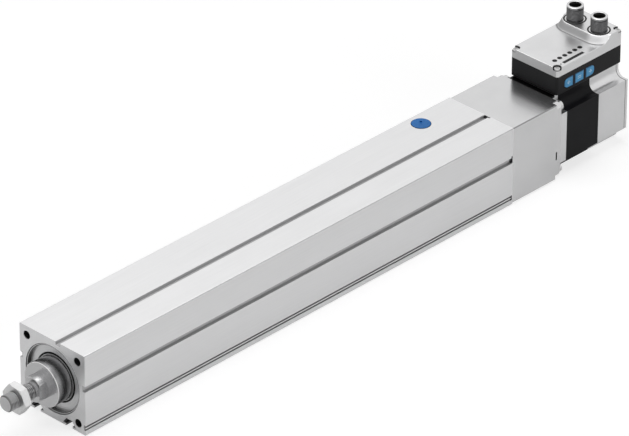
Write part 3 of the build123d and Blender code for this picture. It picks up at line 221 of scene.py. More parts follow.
metalLooks = {
    "barrel_anodised": {"colour": (0.72, 0.72, 0.725), "roughness": 0.32, "metallic": 0.9, "lineScale": 900.0,
                        "stretch": (0.02, 1.0, 1.0), "contrast": 0.035, "depth": 0.00002},
    "ground_steel": {"colour": (0.36, 0.36, 0.365), "roughness": 0.24, "metallic": 1.0, "lineScale": 1500.0,
                     "stretch": (1.0, 0.05, 0.05), "contrast": 0.05, "depth": 0.00001},
    "zinc_steel": {"colour": (0.60, 0.60, 0.60), "roughness": 0.3, "metallic": 1.0, "lineScale": 1400.0,
                   "stretch": (1.0, 0.6, 0.6), "contrast": 0.12, "depth": 0.00003},
    "dome_steel": {"colour": (0.62, 0.62, 0.63), "roughness": 0.25, "metallic": 1.0, "lineScale": 1500.0,
                   "stretch": (0.2, 1.0, 1.0), "contrast": 0.06, "depth": 0.00001},
    "nickel_brass": {"colour": (0.105, 0.105, 0.107), "roughness": 0.36, "metallic": 1.0, "lineScale": 1600.0,
                     "stretch": (0.4, 0.4, 1.0), "contrast": 0.05, "depth": 0.00001},
    "gold_contact": {"colour": (0.30, 0.24, 0.13), "roughness": 0.3, "metallic": 1.0, "lineScale": 2000.0,
                     "stretch": (1.0, 1.0, 0.2), "contrast": 0.06, "depth": 0.00001},
    "copper": {"colour": (0.55, 0.24, 0.09), "roughness": 0.35, "metallic": 1.0, "lineScale": 1300.0,
               "stretch": (0.05, 1.0, 1.0), "contrast": 0.25, "depth": 0.0001},
}
castLooks = {
    "cast_aluminium": {"colour": (0.67, 0.67, 0.675), "roughness": 0.30, "metallic": 0.97, "grainScale": 2200.0,
                       "contrast": 0.04, "depth": 0.00003},
    "cast_smooth": {"colour": (0.64, 0.64, 0.645), "roughness": 0.21, "metallic": 0.97, "grainScale": 2200.0,
                    "contrast": 0.03, "depth": 0.000015},
    "lamination_black": {"colour": (0.005, 0.005, 0.006), "roughness": 0.42, "metallic": 0.0, "grainScale": 1500.0,
                         "contrast": 0.25, "depth": 0.00003, "gloss": 0.10},
    "magnet": {"colour": (0.06, 0.06, 0.065), "roughness": 0.5, "metallic": 0.7, "grainScale": 1800.0,
               "contrast": 0.2, "depth": 0.00004},
}
turnedLooks = {
    "turned_aluminium": {"colour": (0.62, 0.62, 0.625), "roughness": 0.36, "metallic": 0.9, "ringScale": 1700.0,
                         "contrast": 0.08, "depth": 0.00002},
    "machined_steel": {"colour": (0.47, 0.47, 0.475), "roughness": 0.24, "metallic": 1.0, "ringScale": 2100.0,
                       "contrast": 0.10, "depth": 0.00002},
    "bearing_steel": {"colour": (0.6, 0.6, 0.61), "roughness": 0.2, "metallic": 1.0, "ringScale": 2400.0,
                      "contrast": 0.06, "depth": 0.00001},
    "bronze": {"colour": (0.45, 0.29, 0.12), "roughness": 0.4, "metallic": 0.9, "ringScale": 1800.0,
               "contrast": 0.12, "depth": 0.00002},
}
plasticLooks = {
    "seal_rubber": {"colour": (0.004, 0.004, 0.004), "roughness": 0.62, "grainScale": 2500.0, "contrast": 0.3,
                    "depth": 0.00004, "gloss": 0.08},
    "buffer_urethane": {"colour": (0.42, 0.29, 0.08), "roughness": 0.5, "grainScale": 900.0, "contrast": 0.12,
                        "depth": 0.00003},
    "spider_urethane": {"colour": (0.42, 0.03, 0.02), "roughness": 0.45, "grainScale": 900.0, "contrast": 0.12,
                        "depth": 0.00003},
    "guide_plastic": {"colour": (0.10, 0.19, 0.12), "roughness": 0.5, "grainScale": 1200.0, "contrast": 0.12,
                      "depth": 0.00003},
    "tub_black": {"colour": (0.013, 0.013, 0.014), "roughness": 0.5, "grainScale": 3200.0, "contrast": 0.18,
                  "depth": 0.00003, "gloss": 0.13},
    "insert_black": {"colour": (0.008, 0.008, 0.009), "roughness": 0.5, "grainScale": 2600.0, "contrast": 0.2,
                     "depth": 0.00002},
    "component_dark": {"colour": (0.02, 0.02, 0.022), "roughness": 0.4, "grainScale": 2600.0, "contrast": 0.2,
                       "depth": 0.00002},
    "cap_blue": {"colour": (0.010, 0.140, 0.430), "roughness": 0.45, "grainScale": 1800.0, "contrast": 0.10,
                 "depth": 0.00003},
    "board_green": {"colour": (0.015, 0.11, 0.04), "roughness": 0.35, "grainScale": 700.0, "contrast": 0.35,
                    "depth": 0.00002},
}

families = [(satinMetal, metalLooks), (castMetal, castLooks), (turnedMetal, turnedLooks),
            (mouldedPlastic, plasticLooks)]
finishes = {name: make(name, look) for make, looks in families for name, look in looks.items()}


# keys: blue, with a pale arrow or two pale bars on each face, and a darker rim; sizes in metres
keyFace = {"blue": (0.055, 0.34, 0.66), "symbol": (0.42, 0.66, 0.86, 1.0), "rim": (0.010, 0.075, 0.18, 1.0),
           "roughness": 0.32, "polish": (0.28, 0.1), "grainScale": 2400.0, "contrast": 0.08, "depth": 0.00003,
           "raise": 2.0, "arm": 0.0013, "line": 0.00032, "headHeight": 0.0015, "stem": (-0.0014, 0.0012),
           "barRise": 0.0007, "barHalf": 0.0003, "barReach": 0.0018, "halfWidth": 0.0044, "halfHeight": 0.0038,
           "rimWidth": 0.0011, "rimHeight": 0.0009, "soft": 0.0001}


def keyFinish(name, node, turn):
    # u is the distance forwards from the key's middle, and v the distance up or down from it: turn 1 points the
    # arrow forwards, -1 backwards, and 0 draws two level bars
    face, soft = keyFace, keyFace["soft"]
    made = Finish(name, face["blue"], face["roughness"])
    centre = middleOf(node)
    u = (made.x - centre[0]) * (turn or 1)
    v = (made.z - centre[2]).math("ABSOLUTE")
    grain = made.noise(face["grainScale"])
    if turn:
        slant = (u + v - face["arm"]).math("ABSOLUTE")
        head = slant.fall(face["line"], face["line"] + soft)
        head = head * v.fall(face["headHeight"], face["headHeight"] + 2 * soft)
        stem = v.fall(face["line"], face["line"] + soft) * u.within(*face["stem"], soft)
        symbol = strongest([head, stem])
    else:
        bar = (v - face["barRise"]).math("ABSOLUTE")
        symbol = bar.fall(face["barHalf"], face["barHalf"] + soft) * u.within(-face["barReach"], face["barReach"], soft)
    rim = strongest([v.rise(face["halfHeight"] - face["rimHeight"], face["halfHeight"]),
                     u.math("ABSOLUTE").rise(face["halfWidth"] - face["rimWidth"], face["halfWidth"])])
    body = made.mix(rim, made.vary(grain, face["contrast"]), face["rim"])
    made.feed("Base Color", made.mix(symbol, body, face["symbol"]))
    made.feed("Roughness", face["polish"][0] + grain * face["polish"][1])
    made.relief(grain + symbol * face["raise"], face["depth"])
    return made.material


# lamps and the segmented display, both dark while the drive is off
lampFace = {"glass": (0.003, 0.003, 0.004), "gloss": 0.15, "cellScale": 900.0, "contrast": 0.5, "roughness": 0.18,
            "polish": (0.15, 0.12), "depth": 0.00003, "pitch": 0.00512, "rim": 0.00185}
displayFace = {"segments": 10, "gap": 0.10, "edge": 0.04, "bar": (0.05, 0.05, 0.05, 1.0), "grainScale": 2200.0,
               "contrast": 0.4, "roughness": 0.2, "polish": (0.18, 0.3), "depth": 0.00004, "grainDepth": 0.2,
               "dotStep": 0.0032}


def lampFinish(name):
    made = Finish(name, lampFace["glass"], lampFace["roughness"], 0.0, lampFace["gloss"])
    cells = made.noise(lampFace["cellScale"])
    made.feed("Base Color", made.vary(cells, lampFace["contrast"]))
    made.feed("Roughness", lampFace["polish"][0] + cells * lampFace["polish"][1])
    made.relief(cells, lampFace["depth"])
    return made.material


def displayFinish(name):
    # bars across the window, counted back from the dot at its front end
    face = displayFace
    made = Finish(name, lampFace["glass"], face["roughness"], 0.0, lampFace["gloss"])
    low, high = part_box("display_window")
    start = high[0] - face["dotStep"]
    along = ((start - made.x) * (face["segments"] / (start - low[0]))).math("FRACT")
    bar = 1 - along.within(face["gap"], 1 - face["gap"], face["edge"])
    grain = made.noise(face["grainScale"])
    made.feed("Base Color", made.mix(bar, made.vary(grain, face["contrast"]), face["bar"]))
    made.feed("Roughness", face["polish"][0] + bar * face["polish"][1])
    made.relief(bar + grain * face["grainDepth"], face["depth"])
    return made.material


# the barrel's grooves, edges, bolt holes and nut slots, in metres, and how dark the painted shade in each is
grooves = {"half": 0.030, "depth": 0.0021, "top": 0.0055, "right": 0.0049, "left": 0.0064, "reach": 0.0023,
           "endReach": 0.0029, "endShift": 0.0009, "endLength": 0.0018, "lowest": 0.0003, "highest": 0.0001,
           "edgeZ": -0.0244, "edgeReach": 0.0020, "edgeDepth": 0.0016, "corner": (0.00062, 0.00048),
           "bolt": 0.02325, "hole": 0.00305, "holeFront": (-0.0006, -0.0002), "slotNear": 0.0100,
           "slotFar": 0.0195, "slotFoot": -0.0298, "slotTop": -0.0240, "slotFront": (-0.0004, -0.0001),
           "soft": 0.00005, "grooveShade": 0.42, "notchShade": 0.95, "ribShade": 0.55, "ribEndShade": 0.4,
           "cornerShade": 0.55, "holeShade": 0.8, "slotShade": 0.85, "dark": (0.05, 0.05, 0.052, 1.0)}


def barrelFinish(values):
    # the drawn aluminium, with painted shade inside the grooves, the bolt holes and the nut slots, and a painted dark
    # reflection along the four long edges
    made = satinMetal("barrelDrawnMetal", metalLooks["barrel_anodised"])
    half, soft = values["half"], values["soft"]
    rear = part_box("profile_barrel")[0][0] + values["endLength"]
    ending = made.x.fall(rear - 2 * soft, rear)
    sideways, upright = made.y.math("ABSOLUTE"), made.z.math("ABSOLUTE")
    masks = []
    # painted shade along each groove, and deeper painted shade in its notch at the rear end
    for side, along, centre in ((made.z, made.y, values["top"]), (made.y, made.z, values["right"]),
                                (made.y * -1.0, made.z, values["left"])):
        sunk = side.within(half - values["depth"] - values["lowest"], half - values["highest"], soft)
        line = along.within(centre - values["reach"], centre + values["reach"], soft)
        shift = centre + values["endShift"]
        notch = along.within(shift - values["endReach"], shift + values["endReach"], soft) * ending
        masks += [sunk * line * values["grooveShade"], sunk * notch * values["notchShade"]]
    # painted shade in the low rib on each side, deeper near the rear end
    rib = (made.z - values["edgeZ"]).math("ABSOLUTE").fall(values["edgeReach"] - soft, values["edgeReach"])
    rib = rib * sideways.within(half - values["edgeDepth"], half - values["highest"], soft)
    # a painted dark reflection on the rounded long edges, and painted shade in the bolt holes and the nut slots
    corner = (upright + sideways).rise(*[2 * half - inset for inset in values["corner"]])
    bolt = made.distance(sideways, upright, (values["bolt"], values["bolt"]))
    hole = bolt.fall(values["hole"], values["hole"] + soft) * made.x.fall(*values["holeFront"])
    slot = sideways.within(values["slotNear"], values["slotFar"], 2 * soft)
    slot = slot * made.z.within(values["slotFoot"], values["slotTop"], 2 * soft) * made.x.fall(*values["slotFront"])
    masks += [rib * (values["ribShade"] + ending * values["ribEndShade"]), corner * values["cornerShade"],
              hole * values["holeShade"], slot * values["slotShade"]]
    made.paint(strongest(masks), values["dark"])
    return made.material


# finishes of single pieces, many with painted shade, sheen or highlights: sizes in metres
wiperEdge = {"lip": 0.0165, "soft": 0.0001, "metallic": 0.9, "roughness": (0.6, 0.3), "grey": (0.50, 0.50, 0.50, 1.0)}
threadShade = {"start": 0.0192, "startSoft": 0.0003, "root": 0.00545, "crest": 0.0059, "tip": (0.04188, 0.04196),
               "dark": (0.05, 0.05, 0.05, 1.0)}
rodFront = {"chamfer": 0.0005, "faceLow": 0.00008, "faceHigh": 0.00004, "glintHigh": 0.00006, "soft": 0.00003,
            "matt": 0.8, "face": (0.50, 0.50, 0.505, 1.0), "glint": (0.95, 0.95, 0.95, 1.0)}
ringPaintedShade = {"inner": 0.0239, "outer": 0.0245, "soft": 0.00004, "dark": (0.05, 0.05, 0.05, 1.0)}
# the housing's painted dark edge reflection, the painted shadow in the trench under the controller, and the dark joint
# line at the end plate
jointsAndPaintedShade = {"housingEdge": 0.0583, "edgeSoft": 0.0001, "edgeShade": 0.6, "trenchLength": 0.0005,
          "trenchLevel": 0.0279, "trenchSoft": 0.0002, "plateLine": 0.0004, "plateSoft": 0.00005,
          "dark": (0.012, 0.012, 0.012, 1.0)}
shellTop = {"flange": 0.00615, "edge": 0.0070, "edgeSoft": 0.00003, "rim": 0.0006, "collar": 0.0021,
            "soft": 0.0001, "half": 0.35, "pale": (0.62, 0.62, 0.625, 1.0), "black": (0.010, 0.010, 0.010, 1.0)}
prySlot = {"z": -0.011, "half": 0.0032, "rear": -0.44925, "front": -0.4479, "zSoft": 0.0001, "soft": 0.00004,
           "dark": (0.02, 0.02, 0.02, 1.0)}


def wiperFinish():
    # the wiper's inner lip is painted pale grey and made metallic, a painted sheen like the rod beside it
    made = mouldedPlastic("wiperRubber", plasticLooks["seal_rubber"])
    radius = made.distance(made.y, made.z)
    lip = radius.fall(wiperEdge["lip"] - wiperEdge["soft"], wiperEdge["lip"] + wiperEdge["soft"])
    made.feed("Metallic", lip * wiperEdge["metallic"])
    made.feed("Roughness", wiperEdge["roughness"][0] - lip * wiperEdge["roughness"][1])
    # painted sheen on the lip
    made.paint(lip, wiperEdge["grey"])
    return made.material


def threadFinish():
    # painted shade in the thread's root, but not on the neck before it or on the tip's own face
    made = turnedMetal("threadedSteel", turnedLooks["machined_steel"])
    root = made.distance(made.y, made.z).fall(threadShade["root"], threadShade["crest"])
    root = root * made.x.rise(threadShade["start"], threadShade["start"] + threadShade["startSoft"])
    made.paint(root * made.x.fall(*threadShade["tip"]), threadShade["dark"])
    return made.material


def rodFinish():
    # ground side, the front face painted lighter than the side as painted light, and a painted highlight, white and
    # less metallic, on the chamfered edge
    made = satinMetal("rodGroundSteel", metalLooks["ground_steel"])
    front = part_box("piston_rod")[1][0]
    face = made.x.rise(front - rodFront["faceLow"], front - rodFront["faceHigh"])
    glint = made.x.within(front - rodFront["chamfer"], front - rodFront["glintHigh"], rodFront["soft"])
    made.feed("Metallic", 1 - glint * rodFront["matt"])
    # painted light on the front face, and a painted highlight on the chamfer
    made.paint(face, rodFront["face"])
    made.paint(glint, rodFront["glint"])
    return made.material


def ringFinish():
    # a spring ring, with painted shade along its two round edges, where its recess shades it
    made = turnedMetal("springSteel", turnedLooks["machined_steel"])
    radius = made.distance(made.y, made.z)
    made.paint(1 - radius.within(ringPaintedShade["inner"], ringPaintedShade["outer"], ringPaintedShade["soft"]), ringPaintedShade["dark"])
    return made.material


def housingFinish():
    # a smooth casting, with a painted dark reflection along its four long edges
    made = castMetal("housingCastMetal", castLooks["cast_smooth"])
    edge = made.z.math("ABSOLUTE") + made.y.math("ABSOLUTE")
    edge = edge.rise(jointsAndPaintedShade["housingEdge"], jointsAndPaintedShade["housingEdge"] + jointsAndPaintedShade["edgeSoft"])
    made.paint(edge * jointsAndPaintedShade["edgeShade"], jointsAndPaintedShade["dark"])
    return made.material


def frontBellFinish():
    # painted shadow in the narrow trench between the controller and the flange
    made = castMetal("frontBellCastMetal", castLooks["cast_aluminium"])
    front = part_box("controller_tub")[1][0]
    trench = made.x.rise(front - jointsAndPaintedShade["trenchLength"], front)
    trench = trench * made.z.rise(jointsAndPaintedShade["trenchLevel"], jointsAndPaintedShade["trenchLevel"] + jointsAndPaintedShade["trenchSoft"])
    made.paint(trench, jointsAndPaintedShade["dark"])
    return made.material


def rearBellFinish():
    # the joint with the end plate shows as a thin dark line
    made = castMetal("rearBellCastMetal", castLooks["cast_aluminium"])
    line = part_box("motor_rear_bell")[0][0] + jointsAndPaintedShade["plateLine"]
    made.paint(made.x.fall(line - jointsAndPaintedShade["plateSoft"], line), jointsAndPaintedShade["dark"])
    return made.material


def flangeFinish():
    # a smooth casting, with painted shade in a slot in its side
    made = castMetal("flangeCastMetal", castLooks["cast_smooth"])
    slot = (made.z - prySlot["z"]).math("ABSOLUTE").fall(prySlot["half"] - prySlot["zSoft"], prySlot["half"])
    slot = slot * made.x.within(prySlot["rear"], prySlot["front"], prySlot["soft"])
    made.paint(slot, prySlot["dark"])
    return made.material


def shellFinish(node):
    # nickel, darker on the thread, pale on the flange and the rim, half as pale on the collar, and black and not
    # metallic round the flange's outer edge
    made = satinMetal(node + "Nickel", metalLooks["nickel_brass"])
    soft, top = shellTop["soft"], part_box(node)[1][2]
    radius = made.distance(made.x, made.y, middleOf(node))
    pale = radius.within(shellTop["flange"], shellTop["edge"], shellTop["edgeSoft"])
    edge = radius.rise(shellTop["edge"] - shellTop["edgeSoft"], shellTop["edge"] + shellTop["edgeSoft"])
    collar = made.z.rise(top - shellTop["collar"] - soft, top - shellTop["collar"])
    rim = made.z.rise(top - shellTop["rim"] - soft, top - shellTop["rim"])
    made.paint(strongest([pale, collar * shellTop["half"], rim]), shellTop["pale"])
    made.feed("Metallic", 1 - edge)
    made.paint(edge, shellTop["black"])
    return made.material


ownFinish = {"lamp_lenses": lampFinish("lampGlass"), "display_window": displayFinish("displayGlass"),
             "key_front": keyFinish("keyArrowForward", "key_front", 1),
             "key_middle": keyFinish("keyBars", "key_middle", 0),
             "key_rear": keyFinish("keyArrowBack", "key_rear", -1),
             "profile_barrel": barrelFinish(grooves), "rod_wiper": wiperFinish(), "motor_flange": flangeFinish(),
             "piston_rod": rodFinish(), "retaining_ring": ringFinish(), "coupling_housing": housingFinish(),
             "motor_front_bell": frontBellFinish(), "motor_rear_bell": rearBellFinish()}
slotOf = {part["node"]: part["material_slot"] for part in frame["record"]["subparts"]}
for name, solid in nodes.items():
    material = ownFinish.get(name) or finishes[slotOf[name]].material
    for holder in solid.material_slots:
        holder.material = material
print("finishes:", len(bpy.data.materials))


def pieceFrom(name, points, faces, sharpAngle):
    # a mesh object at the origin, from points in millimetres, smooth but for edges sharper than the angle in degrees
    mesh = bpy.data.meshes.new(name)
    mesh.from_pydata((points / 1000.0).tolist(), [], faces)
    mesh.update()
    mesh.polygons.foreach_set("use_smooth", [True] * len(mesh.polygons))
    mesh.set_sharp_from_angle(angle=math.radians(sharpAngle))
    piece = bpy.data.objects.new(name, mesh)
    bpy.context.scene.collection.objects.link(piece)
    return piece


def gridMesh(name, points, capEnds, sharpAngle):
    # points is rows x columns x 3; each row is a ring, and neighbouring rings are joined by quads
    rows, columns = points.shape[:2]
    index = np.arange(rows * columns).reshape(rows, columns)
    beside = np.roll(index, -1, axis=1)
    faces = np.stack([index[:-1], index[1:], beside[1:], beside[:-1]], axis=-1).reshape(-1, 4).tolist()
    if capEnds:
        faces += [index[0].tolist(), index[-1][::-1].tolist()]
    return pieceFrom(name, points.reshape(-1, 3), faces, sharpAngle)


threadForm = {"root": 0.12, "flank": 0.76}  # shares of half a turn that the flat root and the flank take


def threadWave(phase):
    # height of a 60 degree thread, 0 at the root and 1 at the crest: a triangle wave with its ends cut flat
    wave = np.abs(((phase % 1.0) * 2.0) - 1.0)
    return np.clip((wave - threadForm["root"]) / threadForm["flank"], 0.0, 1.0)


# stations and radii in millimetres
rodEnd = {"shank": 5.15, "collar": 9.0, "flats": 6.5, "neck": 5.3, "thread": 6.0, "depth": 0.72, "pitch": 1.25,
          "start": 8.6, "collarStart": 9.9, "collarEnd": 12.0, "collarStep": 0.01, "flatsEnd": 18.0,
          "chamfer": 0.4, "threadStart": 19.5, "runOut": 1.2, "tip": 42.0, "tipChamfer": 0.9, "columns": 96,
          "stepsPerTurn": 14, "sharpAngle": 35}


def rodEndPiece(values):
    # radius as a function of station and angle: collar, wrench flats, neck, then a right-hand thread
    plain = [values["start"], values["collarStart"], values["collarStart"], values["collarEnd"] - values["collarStep"],
             values["collarEnd"], values["flatsEnd"] - values["chamfer"], values["flatsEnd"], values["flatsEnd"],
             values["threadStart"]]
    kinds = [0, 0, 1, 1, 2, 2, 3, 4, 4]
    turns = (values["tip"] - values["threadStart"]) / values["pitch"]
    threaded = np.linspace(values["threadStart"], values["tip"], int(turns * values["stepsPerTurn"]))
    stations = np.concatenate([plain, threaded])
    kinds = np.concatenate([kinds, np.full(len(threaded), 5)])
    angle = np.linspace(0, 2 * np.pi, values["columns"], endpoint=False)
    x, a = np.meshgrid(stations, angle, indexing="ij")
    k = np.repeat(kinds[:, None], len(angle), axis=1)
    flat = np.minimum(values["collar"], values["flats"] / np.maximum(np.abs(np.cos(a)), 1e-6))  # never by zero
    wave = threadWave(x / values["pitch"] - a / (2 * np.pi))
    thread = values["thread"] - values["depth"] * (1 - wave)
    runOut = np.clip((x - values["threadStart"]) / (values["runOut"] * values["pitch"]), 0, 1)
    thread = (1 - runOut) * np.minimum(thread, values["neck"]) + runOut * thread
    thread = np.minimum(thread, values["thread"] - values["tipChamfer"] + (values["tip"] - x))
    chamfered = np.minimum(flat, values["collar"] - values["chamfer"])
    radius = np.select([k == 0, k == 1, k == 2, k == 3, k == 4],
                       [values["shank"], values["collar"], flat, chamfered, values["neck"]], thread)
    points = np.stack([x, radius * np.cos(a), radius * np.sin(a)], axis=-1)
    return gridMesh("rod_end_threaded", points[:, ::-1], True, values["sharpAngle"])


rodEndSurface = rodEndPiece(rodEnd)
rodEndSurface.data.materials.append(threadFinish())
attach(rodEndSurface, "rod_unit")
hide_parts("rod_end")
print("rod end:", len(rodEndSurface.data.polygons), "faces")


# heights and radii in millimetres; seatDrop is from the rim down to the flange's underside
connector = {"shell": 6.0, "bore": 4.3, "seatDrop": 12.4, "flangeEdge": 0.85, "flangeTop": 1.0, "flangeBevel": 0.15,
             "lowerGroove": 0.45, "upperGroove": 0.55, "boreBevel": 0.35, "collarStep": 0.05, "pitch": 1.0,
             "depth": 0.42, "columns": 80, "stepsPerTurn": 12, "collarHeight": 1.8, "relief": 0.7,
             "threadBottom": 2.6, "chamfer": 0.55, "sharpAngle": 35}


def connectorPiece(name, node, values):
    # a profile carried once round the connector's own axis: flange, M12 x 1 thread, plain collar, rim and bore
    low, high = (np.array(corner) * 1000.0 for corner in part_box(node))
    centre = (low + high) / 2
    bottom, top = low[2], high[2]
    shell, flange, bore = values["shell"], (high[0] - low[0]) / 2, values["bore"]
    seat = top - values["seatDrop"]
    threadLow = seat + values["threadBottom"]
    threadHigh = top - values["collarHeight"] - values["relief"]
    turns = (threadHigh - threadLow) / values["pitch"]
    zThread = np.linspace(threadLow, threadHigh, int(turns * values["stepsPerTurn"]))
    flangeTop, lower, upper = seat + values["flangeTop"], shell - values["lowerGroove"], shell - values["upperGroove"]
    collar = threadHigh + values["relief"]
    head = [(bottom, shell), (seat, shell), (seat, flange), (seat + values["flangeEdge"], flange),
            (flangeTop, flange - values["flangeBevel"]), (flangeTop, lower), (threadLow, lower)]
    tail = [(threadHigh, upper), (collar, upper), (collar + values["collarStep"], shell),
            (top - values["chamfer"], shell), (top, shell - values["chamfer"]), (top, bore + values["boreBevel"]),
            (top - values["boreBevel"], bore), (bottom, bore)]
    z = np.concatenate([[p[0] for p in head], zThread, [p[0] for p in tail]])
    plain = np.concatenate([[p[1] for p in head], np.full(len(zThread), shell), [p[1] for p in tail]])
    isThread = np.concatenate([np.zeros(len(head)), np.ones(len(zThread)), np.zeros(len(tail))])
    angle = np.linspace(0, 2 * np.pi, values["columns"], endpoint=False)
    height, a = np.meshgrid(z, angle, indexing="ij")
    wave = threadWave(height / values["pitch"] - a / (2 * np.pi))
    radius = plain[:, None] - isThread[:, None] * values["depth"] * (1 - wave)
    points = np.stack([centre[0] + radius * np.cos(a), centre[1] + radius * np.sin(a), height], axis=-1)
    closed = np.concatenate([points, points[:1]])
    return gridMesh(name, closed[:, ::-1], False, values["sharpAngle"])


for node in ("power_connector_shell", "signal_connector_shell"):
    shellSurface = connectorPiece(node.replace("_shell", "_threaded_shell"), node, connector)
    shellSurface.data.materials.append(shellFinish(node))
    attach(shellSurface, "cylinder_body")
    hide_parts(node)
print("connector shells made")


# millimetres; cell is the grid's step, lobe the platform's reach about the connectors, melt and blend how softly its
# two parts and its foot run together, and nudge, reach, steepLeast and inside say how grid points are drawn onto the
# edges of sunk places
coverCast = {"cell": 0.3, "corner": 2.0, "edge": 0.35, "edgeRows": (0.0, 0.06, 0.16, 0.3), "frontHeight": 6.9,
             "slope": 0.005, "lobe": 8.7, "lead": 0.5, "melt": 0.5, "blend": 4.0, "blendLead": 0.6,
             "screwInset": 2.4, "recess": 3.0, "recessDepth": 2.2, "seat": 8.2, "seatDepth": 1.0,
             "slotHalf": 1.02, "slotDepth": 0.35, "dot": 0.6, "dotMargin": 0.05,
             "nudge": 0.001, "reach": 0.55, "steepLeast": 0.3, "inside": -0.02, "sharpAngle": 38}


def smoothStep(value):
    value = np.clip(value, 0.0, 1.0)
    return value * value * value * (value * (value * 6 - 15) + 10)


def coverPiece(values):
    # a height over the cover's outline: a nearly level deck that swells into the platform, which is all that lies
    # behind the connectors' line joined with a round-ended band about both, and then sunk places for the screws,
    # the connectors' flanges and the display
    low, high = (np.array(corner) * 1000.0 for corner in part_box("controller_cover"))
    middle, half = (low + high) / 2, (high - low) / 2
    sockets = [(np.array(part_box(n)[0]) + np.array(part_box(n)[1]))[:2] * 500.0
               for n in ("power_connector_shell", "signal_connector_shell")]
    edge, near = values["edge"], np.array(values["edgeRows"])
    rows = []
    for size in half[:2]:
        count = int((2 * size - 2 * edge) / values["cell"])
        rows.append(np.concatenate([near - size, np.linspace(edge - size, size - edge, count), size - near[::-1]]))
    x, y = np.meshgrid(rows[0], rows[1], indexing="ij")
    turn = values["corner"]  # square corners are drawn in to quarter circles
    a, b = np.maximum(np.abs(x) - half[0] + turn, 0), np.maximum(np.abs(y) - half[1] + turn, 0)
    both = (a > 0) & (b > 0)
    shrunkA = a * np.sqrt(np.maximum(1 - b * b / (2 * turn * turn), 0))
    shrunkB = b * np.sqrt(np.maximum(1 - a * a / (2 * turn * turn), 0))
    x = np.where(both, np.sign(x) * (half[0] - turn + shrunkA), x) + middle[0]
    y = np.where(both, np.sign(y) * (half[1] - turn + shrunkB), y) + middle[1]

    frontX, rearX = high[0] - values["screwInset"], low[0] + values["screwInset"]
    screwY = half[1] - values["screwInset"]
    recesses = [(frontX, screwY), (frontX, -screwY), (rearX, screwY), (rearX, -screwY)]
    slotLow, slotHigh = (np.array(corner) * 1000.0 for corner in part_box("display_window"))
    dot, dotStep = values["dot"], displayFace["dotStep"] * 1000.0
    slotY = (slotLow[1] + slotHigh[1]) / 2
    slotEnds = (slotLow[0] + values["slotHalf"], slotHigh[0] - dotStep - values["slotHalf"])

    def disc(px, py, centre, radius):
        return np.hypot(px - centre[0], py - centre[1]) - radius

    def slotShape(px, py):
        along = np.clip(px, slotEnds[0], slotEnds[1])
        return np.hypot(px - along, py - slotY) - values["slotHalf"]

    frontFloor = low[2] + values["frontHeight"] - values["recessDepth"]
    rearFloor, seatFloor = high[2] - values["recessDepth"], high[2] - values["seatDepth"]
    sunkPlaces = [(lambda px, py, c=c: disc(px, py, c, values["recess"]), level)
                  for c, level in zip(recesses, (frontFloor, frontFloor, rearFloor, rearFloor))]
    sunkPlaces += [(lambda px, py, c=c: disc(px, py, c, values["seat"]), seatFloor) for c in sockets]
    sunkPlaces += [(slotShape, None), (lambda px, py: disc(px, py, (slotHigh[0] - dot, slotY),
                                                           dot + values["dotMargin"]), None)]
    freeX = np.abs(x - middle[0]) < half[0] - edge  # points along a side only move along it
    freeY = np.abs(y - middle[1]) < half[1] - edge
    for shape, level in sunkPlaces:  # grid points beside an edge are drawn onto it
        gap, step = shape(x, y), values["nudge"]
        gradX, gradY = (shape(x + step, y) - gap) / step, (shape(x, y + step) - gap) / step
        steep = np.where(freeX, gradX ** 2, 0) + np.where(freeY, gradY ** 2, 0)
        move = gap / np.maximum(steep, values["steepLeast"])
        close = (np.abs(move) < values["cell"] * values["reach"]) & (steep > values["steepLeast"])
        x, y = np.where(close & freeX, x - move * gradX, x), np.where(close & freeY, y - move * gradY, y)

    deck = low[2] + values["frontHeight"] + values["slope"] * (high[0] - x)
    span = np.clip(y, sockets[0][1], sockets[1][1])
    fields = [x - sockets[0][0] + values["lead"], np.hypot(x - sockets[0][0], y - span) - values["lobe"]]
    fields = [np.clip(field, -60, 60) for field in fields]  # so that exp stays finite
    union = -values["melt"] * np.log(sum(np.exp(-field / values["melt"]) for field in fields))
    swell = smoothStep(1 - (union + values["blendLead"]) / values["blend"])
    z = deck + (high[2] - deck) * swell
    sideX, sideY = half[0] - np.abs(x - middle[0]), half[1] - np.abs(y - middle[1])
    outside = np.hypot(np.maximum(turn - sideX, 0), np.maximum(turn - sideY, 0))
    inset = np.clip(np.where(outside > 0, turn - outside, np.minimum(sideX, sideY)), 0, edge)
    z = z - edge + np.sqrt(np.maximum(edge ** 2 - (edge - inset) ** 2, 0))  # the rounded upper edge
    for shape, level in sunkPlaces:
        z = np.where(shape(x, y) < values["inside"], z - values["slotDepth"] if level is None else level, z)

    top = np.stack([x, y, z], axis=-1).reshape(-1, 3)
    index = np.arange(x.size).reshape(x.shape)
    quads = np.stack([index[:-1, :-1], index[1:, :-1], index[1:, 1:], index[:-1, 1:]], axis=-1).reshape(-1, 4)
    loop = np.concatenate([index[:, 0], index[-1, 1:], index[-2::-1, -1], index[0, -2:0:-1]])
    foot = top[loop].copy()
    foot[:, 2] = low[2]
    under = len(top) + np.arange(len(loop))
    sides = np.stack([loop, under, np.roll(under, -1), np.roll(loop, -1)], axis=-1)
    faces = quads.tolist() + sides.tolist() + [under[::-1].tolist()]
    return pieceFrom("cover_cast", np.concatenate([top, foot]), faces, values["sharpAngle"]), recesses


